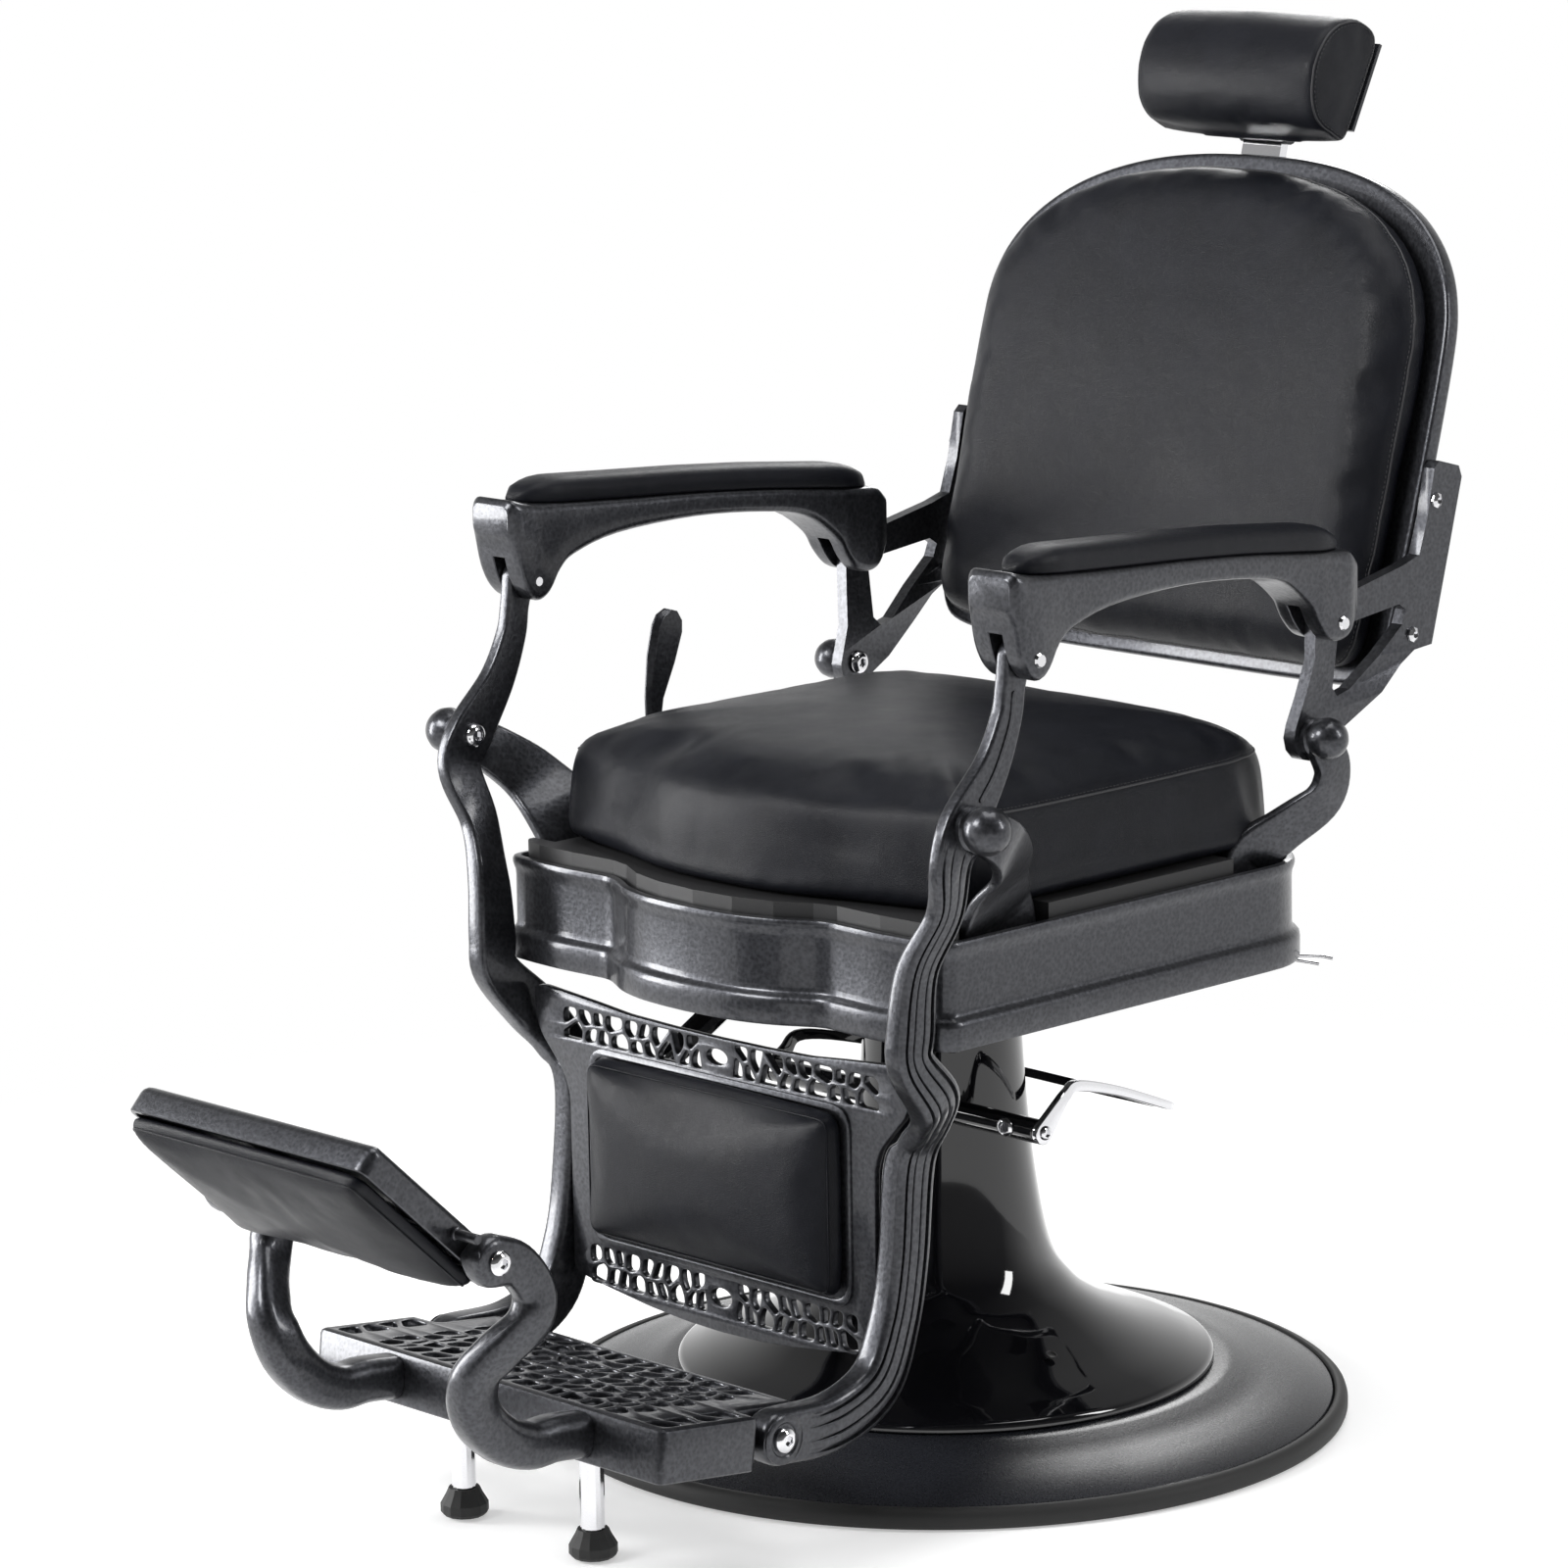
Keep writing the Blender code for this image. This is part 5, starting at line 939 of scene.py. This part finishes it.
def seam(name, ob, loop, body, r=0.0011, stitch=0.0, spread=0.0045, closed=True):
    """A sewn line laid on the pad: a thin welt, and stitches beside it."""
    dg = bpy.context.evaluated_depsgraph_get()
    tree = BVHTree.FromObject(ob, dg)
    pts, ups = [], []
    for p in loop:
        at, up, _, _ = tree.find_nearest(Vector(p))
        pts.append(at)
        ups.append(up)
    n = len(pts)
    rings, parts = [], []
    span = range(n)
    for i in span:
        a, b = pts[i - 1] if closed or i else pts[i], pts[(i + 1) % n] if closed or i < n - 1 else pts[i]
        along = (b - a).normalized()
        side = ups[i].cross(along).normalized()
        up = along.cross(side).normalized()
        rings.append([pts[i] + (side * math.cos(g) + up * math.sin(g)) * r
                      for g in [2 * math.pi * k / 8 for k in range(8)]])
    parts.append(swept(rings, closed=closed))
    if stitch:
        gone, need = 0.0, 0.0
        for i in range(n if closed else n - 1):
            a, b = pts[i], pts[(i + 1) % n]
            d = (b - a).length
            while need < gone + d:
                p = a.lerp(b, (need - gone) / max(d, 1e-9))
                along = (b - a).normalized()
                side = ups[i].cross(along).normalized()
                at, up, _, _ = tree.find_nearest(p + side * stitch)
                half = spread * 0.31
                parts.append(spun([(0, -half), (0.00028, -half * 0.9), (0.00042, 0), (0.00028, half * 0.9),
                                   (0, half)],
                                  along, at + up * 0.00012, 6))
                need += spread
            gone += d
    bm = joined(*parts)
    return piece(name, bm, THREAD if stitch else LEATHER, body, (), 0)


# ---------------------------------------------------------------- seat cushion
right = [(0, -0.2745), (0.07, -0.2695), (0.135, -0.2500), (0.195, -0.2350), (0.2330, -0.2215),
         (0.2455, -0.1900),
         (0.2480, -0.080), (0.2475, 0.040), (0.2440, 0.125), (0.2170, 0.178), (0.150, 0.196), (0, 0.200)]
seat_loop = soft_loop(right + [(-x, y) for x, y in reversed(right[1:-1])], 6)


def upright(u, v, h):
    return (u, v, h)


rows = [(inward(seat_loop, d), h) for d, h in ((0.030, 0.5098), (0.012, 0.5100), (0.003, 0.5160),
                                               (0, 0.5300), (-0.001, 0.5500),
                                              (0, 0.5720), (0.002, 0.5830), (0.007, 0.5925), (0.016, 0.5990),
                                              (0.030, 0.6030))]
seat_pad = stuffed("seat_leather", leaned(rows, upright, (0, -0.02), 0.0160),
                   lambda p: p.z < 0.520, 0.010, "seat", "seat_cushion")
line = inward(seat_loop, 0.006)
seam("seat_welt", seat_pad, [(x, y, 0.5905) for x, y in line if y > -0.2140], "seat", 0.0011, 0.0030,
     closed=False)

# ---------------------------------------------------------------- back cushion
side_of_back = [(0, 0.004), (0.150, 0.004), (0.222, 0.007), (0.2480, 0.024), (0.2565, 0.074), (0.2605, 0.160)]
side_of_back += [(0.2620 * math.cos(a) ** 0.851, 0.277 + 0.170 * math.sin(a) ** 0.851)
                 for a in np.radians([0, 16, 32, 47, 60, 72, 82])] + [(0, 0.447)]
back_loop = soft_loop(side_of_back + [(-u, v) for u, v in reversed(side_of_back[1:-1])], 6)
rows = [(inward(back_loop, d), w + 0.0192) for d, w in ((0.020, 0.0), (0.006, 0.0), (0.001, 0.004),
                                                        (0, 0.012), (0.002, 0.022),
                                                       (0.008, 0.031), (0.018, 0.037), (0.032, 0.0405))]
back_pad = stuffed("back_leather", leaned(rows, back_place, (0, 0.215), 0.0130),
                   lambda p: (0.2825 - p.y) * BACK_COS + (p.z - 0.625) * BACK_SIN < 0.0150 - 0.028, 0.010,
                   "back", "back_cushion")
seam("back_welt", back_pad, [back_place(u, v, 0.040) for u, v in inward(back_loop, 0.0035)], "back", 0.0010,
     0.0030)

half = [(0, 0), (0.150, 0), (0.232, 0.003), (0.2600, 0.022), (0.2665, 0.070), (0.2710, 0.160)]
half += [(0.2720 * math.cos(a) ** 0.851, 0.285 + 0.170 * math.sin(a) ** 0.851)
         for a in np.radians([0, 14, 28, 42, 55, 68, 80])] + [(0, 0.455)]
shell_loop = soft_loop(half + [(-u, v) for u, v in reversed(half[1:-1])], 6)
grow = (0.06, 0.25, 0.45, 0.65, 0.82, 0.94)
rings = [[back_place(u * k, 0.215 + (v - 0.215) * k, 0.0) for u,
          v in inward(shell_loop, 0.005)] for k in grow]
rings += [[back_place(u, v, w) for u, v in inward(shell_loop, d)]
          for d, w in ((0.0050, 0.0), (0.0022, 0.0008), (0.0005, 0.0028), (0, 0.0050), (0, 0.0145),
                       (0.0006, 0.0165),
                       (0.0022, 0.0177), (0.0050, 0.0180))]
rings += [[back_place(u * k, 0.215 + (v - 0.215) * k, 0.018) for u,
           v in inward(shell_loop, 0.005)] for k in reversed(grow)]
piece("back_casting", swept(rings), CASTING, "back", ["back_shell"], 50)

# ---------------------------------------------------------------- headrest cushion
end_form = soft_loop([(0.004, -0.004), (0.021, -0.0050), (0.038, -0.003), (0.053, 0.006), (0.0625, 0.020),
                      (0.0685, 0.037), (0.0695, 0.055), (0.064, 0.075), (0.053, 0.089), (0.039, 0.0985),
                      (0.023, 0.1025),
                      (0.006, 0.0995), (-0.001, 0.086), (-0.001, 0.060), (-0.001, 0.030), (-0.0005, 0.008)],
                      4)
turning = sum(a[0] * b[1] - a[1] * b[0] for a, b in zip(end_form, end_form[1:] + end_form[:1]))
end_form = end_form[::-1] if turning < 0 else end_form
END_INSETS = ((0.1050, 0.020), (0.1050, 0.0030), (0.1035, 0.0006), (0.099, -0.0006), (0.08, -0.0022),
              (0.04, -0.0034))
stations = [(-x, d) for x, d in END_INSETS] + [(0, -0.0038)] + list(reversed(END_INSETS))
head_rings = [[head_place(x, max(f, -0.001), u) for f, u in inward(end_form, d)] for x, d in stations]
head_pad = stuffed("headrest_leather", swept(head_rings),
                   lambda p: (0.412 - p.y) * HEAD_COS + (p.z - 1.079) * HEAD_SIN < 0.003, 0.006, "headrest",
                   "headrest_cushion", voxel=0.0035)
for tag, s in (("L", 1), ("R", -1)):
    seam(f"headrest_welt_{tag}", head_pad,
         [head_place(s * 0.1042, max(f, 0), u) for f, u in inward(end_form, 0.0008)],
         "headrest", 0.0009, -0.0030 * s)

# ---------------------------------------------------------------- calf and foot pads
calf_loop = cornered([(-0.150, 0.182), (0.150, 0.182), (0.150, 0.342), (-0.150, 0.342)], 0.020, 6)


def on_panel(u, v, h):
    return (u, -0.2684 - h, v)


rows = [(inward(calf_loop, d), h) for d, h in ((0.010, 0.0), (0.001, 0.0), (0, 0.004), (0, 0.010),
                                               (0.003, 0.0170),
                                              (0.009, 0.0215), (0.020, 0.0245))]
calf = stuffed("calf_leather", leaned(rows, on_panel, (0, 0.262), 0.0085), lambda p: p.y > -0.2735, 0.006,
               "leg", "calf_pad", voxel=0.004)
seam("calf_welt", calf, [on_panel(u, v, 0.0165) for u, v in inward(calf_loop, 0.0020)], "leg", 0.0008, 0.0)
foot_loop = cornered([(-0.1410, -0.0200), (0.1410, -0.0200), (0.1410, 0.1415), (-0.1410, 0.1415)], 0.014, 6)
rows = [(inward(foot_loop, d), -h) for d, h in ((0.012, 0.0116), (0.002, 0.0116), (0, 0.0150), (0, 0.0200),
                                                (0.003, 0.0250),
                                               (0.010, 0.0290), (0.022, 0.0312))]
foot_pad = stuffed("footrest_leather", leaned(rows, tray_place, (0, 0.0605), -0.0140),
                   lambda p: -((p.y + 0.662) * TRAY_SIN - (p.z - 0.301) * TRAY_COS) < 0.0150, 0.006,
                   "footrest", "footrest_pad", voxel=0.004)
seam("footrest_welt", foot_pad, [tray_place(u, v, -0.0250) for u, v in inward(foot_loop, 0.0030)],
     "footrest", 0.0009, 0.0)


# ---------------------------------------------------------------- arm pads
def arm_pad(side):
    """Crowned leather strip along the armrest."""
    rings = []
    for k in range(41):
        t = k / 40
        y = -0.2200 + 0.4060 * t
        x = arm_x(y)
        z = float(np.interp(y, [p[0] for p in ARM[1:]], [p[1] for p in ARM[1:]])) + 0.0004
        end = min(t, 1 - t)
        swell = math.sin(min(end / 0.11, 1) * math.pi / 2) ** 0.55
        half = 0.0232 * (0.30 + 0.70 * swell)
        h = 0.0215 * (0.22 + 0.78 * swell)
        ring = [(-half * 0.94, 0), (half * 0.94, 0)]
        for g in range(0, 181, 12):
            a = math.radians(g)
            u = math.cos(a)
            ring.append((half * math.copysign(abs(u) ** 0.62, u), h * (0.10 + 0.90 * math.sin(a) ** 0.62)))
        rings.append([(side * (x + u), y, z + v) for u, v in ring])
    return swept(rings)


for tag, s in (("L", 1), ("R", -1)):
    pad = piece(f"arm_leather_{tag}", arm_pad(s), LEATHER, f"arm_{tag}",
                [f"arm_pad_{tag}"], 60)


# ---------------------------------------------------------------- bolts and the wire catch
piece("rear_catch", joined(tube([(0.2340, 0.1960, 0.4050), (0.2440, 0.2030, 0.4052),
                                 (0.2530, 0.2090, 0.4050), (0.2600, 0.2135, 0.4035)], 0.0016),
                           tube([(0.2340, 0.1960, 0.4010), (0.2440, 0.2010, 0.4000),
                                 (0.2510, 0.2060, 0.3985)], 0.0016)),
      CHROME, "seat")
for tag, s in (("L", 1), ("R", -1)):
    for name, body, r, t, at, axis in (
            ("front_pivot_bolt", "seat", 0.0105, 0.0060, (0.2881, F_Y, F_Z), -1),
            ("rear_pivot_bolt", "seat", 0.0105, 0.0060, (0.2636, R_Y, R_Z), -1),
            ("foot_plate_bolt", "foot", 0.0110, 0.0060, (0.2094, -0.399, 0.106), 1),
            ("footrest_bolt", "footrest", 0.0105, 0.0055, (0.17065, -0.662, 0.301), 1)):
        spot = (s * at[0], at[1], at[2])
        piece(f"{name}_head_{tag}", dome(r, t, spot, (s * axis, 0, 0), 0.40), CHROME, body)


# ---------------------------------------------------------------- stage, lamps, camera
def stage_finish():
    """Pale floor that turns plain white away from the object."""
    f = Finish("studio_floor", Roughness=0.9)
    f.shader.inputs["Specular IOR Level"].default_value = 0.0
    f.shader.inputs["Emission Strength"].default_value = 1.0
    f.shader.inputs["Emission Color"].default_value = (0.40, 0.40, 0.40, 1.0)
    tone = f.colours(f.noise(3.0), [(0.0, (0.70, 0.70, 0.70)), (1.0, (0.72, 0.72, 0.72))])
    away = f.node("ShaderNodeVectorMath", {"operation": "LENGTH"}, {0: f.place}, "Value").ramp(0.75, 1.5)
    glow = f.node("ShaderNodeEmission", {}, {"Color": WHITE, "Strength": 1.0})
    f.feed(Base_Color=tone)
    both = f.node("ShaderNodeMixShader", {}, {0: away, 2: glow})
    f.tree.links.new(f.shader.outputs[0], both.socket.node.inputs[1])
    f.tree.links.new(both.socket, f.tree.nodes["Material Output"].inputs["Surface"])
    return f.material


floor = bmesh.new()
bmesh.ops.create_grid(floor, x_segments=4, y_segments=4, size=30.0,
                      matrix=Matrix.Translation((0, 0, -0.0005)))
mesh = bpy.data.meshes.new("floor")
floor.to_mesh(mesh)
floor.free()
floor = bpy.data.objects.new("floor", mesh)
bpy.context.scene.collection.objects.link(floor)
mesh.materials.append(stage_finish())


def studio_world(world):
    """White to the camera; mirrors see it fade upwards and towards the camera's side of the room."""
    world.use_nodes = True
    world.node_tree.nodes.clear()
    kit = Kit(world.node_tree)
    toward = kit.node("ShaderNodeTexCoord", {}, {}, "Generated")
    height = kit.node("ShaderNodeSeparateXYZ", {}, {0: toward}, "Z")
    overhead = kit.node("ShaderNodeMapRange", {}, {"Value": height, "From Min": 0.05, "From Max": 0.62,
                                                   "To Min": 1.0, "To Max": 0.22})
    facing = kit.node("ShaderNodeVectorMath", {"operation": "DOT_PRODUCT"},
                      {0: toward, 1: (0.72, -0.69, 0.0)}, "Value")
    room = kit.node("ShaderNodeMapRange", {}, {"Value": facing, "From Min": -0.35, "From Max": 0.40,
                                               "To Min": 1.0, "To Max": 0.16})
    backdrop, lit, mirror = (kit.node("ShaderNodeBackground", {}, {"Color": WHITE, "Strength": strength})
                             for strength in (1.0, 0.38, room * overhead))
    camera_ray, glossy, through = (kit.node("ShaderNodeLightPath", {}, {}, f"Is {kind} Ray")
                                   for kind in ("Camera", "Glossy", "Transmission"))
    inner = kit.node("ShaderNodeMixShader", {}, {0: glossy.maths("MAXIMUM", glossy, through), 1: lit,
                                                 2: mirror})
    outer = kit.node("ShaderNodeMixShader", {}, {0: camera_ray, 1: inner, 2: backdrop})
    end = kit.tree.nodes.new("ShaderNodeOutputWorld")
    kit.tree.links.new(outer.socket, end.inputs[0])


bpy.context.scene.world = bpy.context.scene.world or bpy.data.worlds.new("room")
studio_world(bpy.context.scene.world)


def softbox(name, at, aim, width, height, power):
    lamp = bpy.data.lights.new(name, "AREA")
    lamp.shape = "RECTANGLE"
    lamp.size = width
    lamp.size_y = height
    lamp.energy = power
    ob = bpy.data.objects.new(name, lamp)
    bpy.context.scene.collection.objects.link(ob)
    ob.location = at
    ob.rotation_mode = "QUATERNION"
    ob.rotation_quaternion = (Vector(aim) - Vector(at)).to_track_quat("-Z", "Y")
    return ob


softbox("key", (-0.9, -2.7, 2.6), (0, 0, 0.6), 1.3, 1.1, 80)
softbox("left_strip", (-2.4, -1.9, 0.9), (0, -0.1, 0.5), 0.8, 1.7, 78)
softbox("side", (2.7, 1.3, 2.0), (0, 0, 0.7), 0.5, 1.6, 34)
softbox("top", (0.2, 0.3, 3.2), (0, 0, 0.6), 1.8, 1.8, 38)
softbox("rear", (-1.8, 2.6, 2.2), (0, 0, 0.8), 0.9, 1.6, 30)

AZ, EL, ROLL = (math.radians(g) for g in (46.001, 11.357, -0.980))
back = Vector((math.sin(AZ) * math.cos(EL), -math.cos(AZ) * math.cos(EL), math.sin(EL)))
across = Vector((math.cos(AZ), math.sin(AZ), 0))
up = back.cross(across)
across2 = across * math.cos(ROLL) + up * math.sin(ROLL)
up2 = up * math.cos(ROLL) - across * math.sin(ROLL)
lens = bpy.data.cameras.new("camera")
lens.lens = 135.72
lens.sensor_width = 36
lens.clip_end = 100
camera = bpy.data.objects.new("camera", lens)
bpy.context.scene.collection.objects.link(camera)
camera.matrix_world = Matrix((across2, up2, back)).transposed().to_4x4()
camera.location = (3.47997, -3.54504, 1.55331)
bpy.context.scene.camera = camera
bpy.context.scene.view_settings.view_transform = "Standard"

bpy.context.view_layer.update()
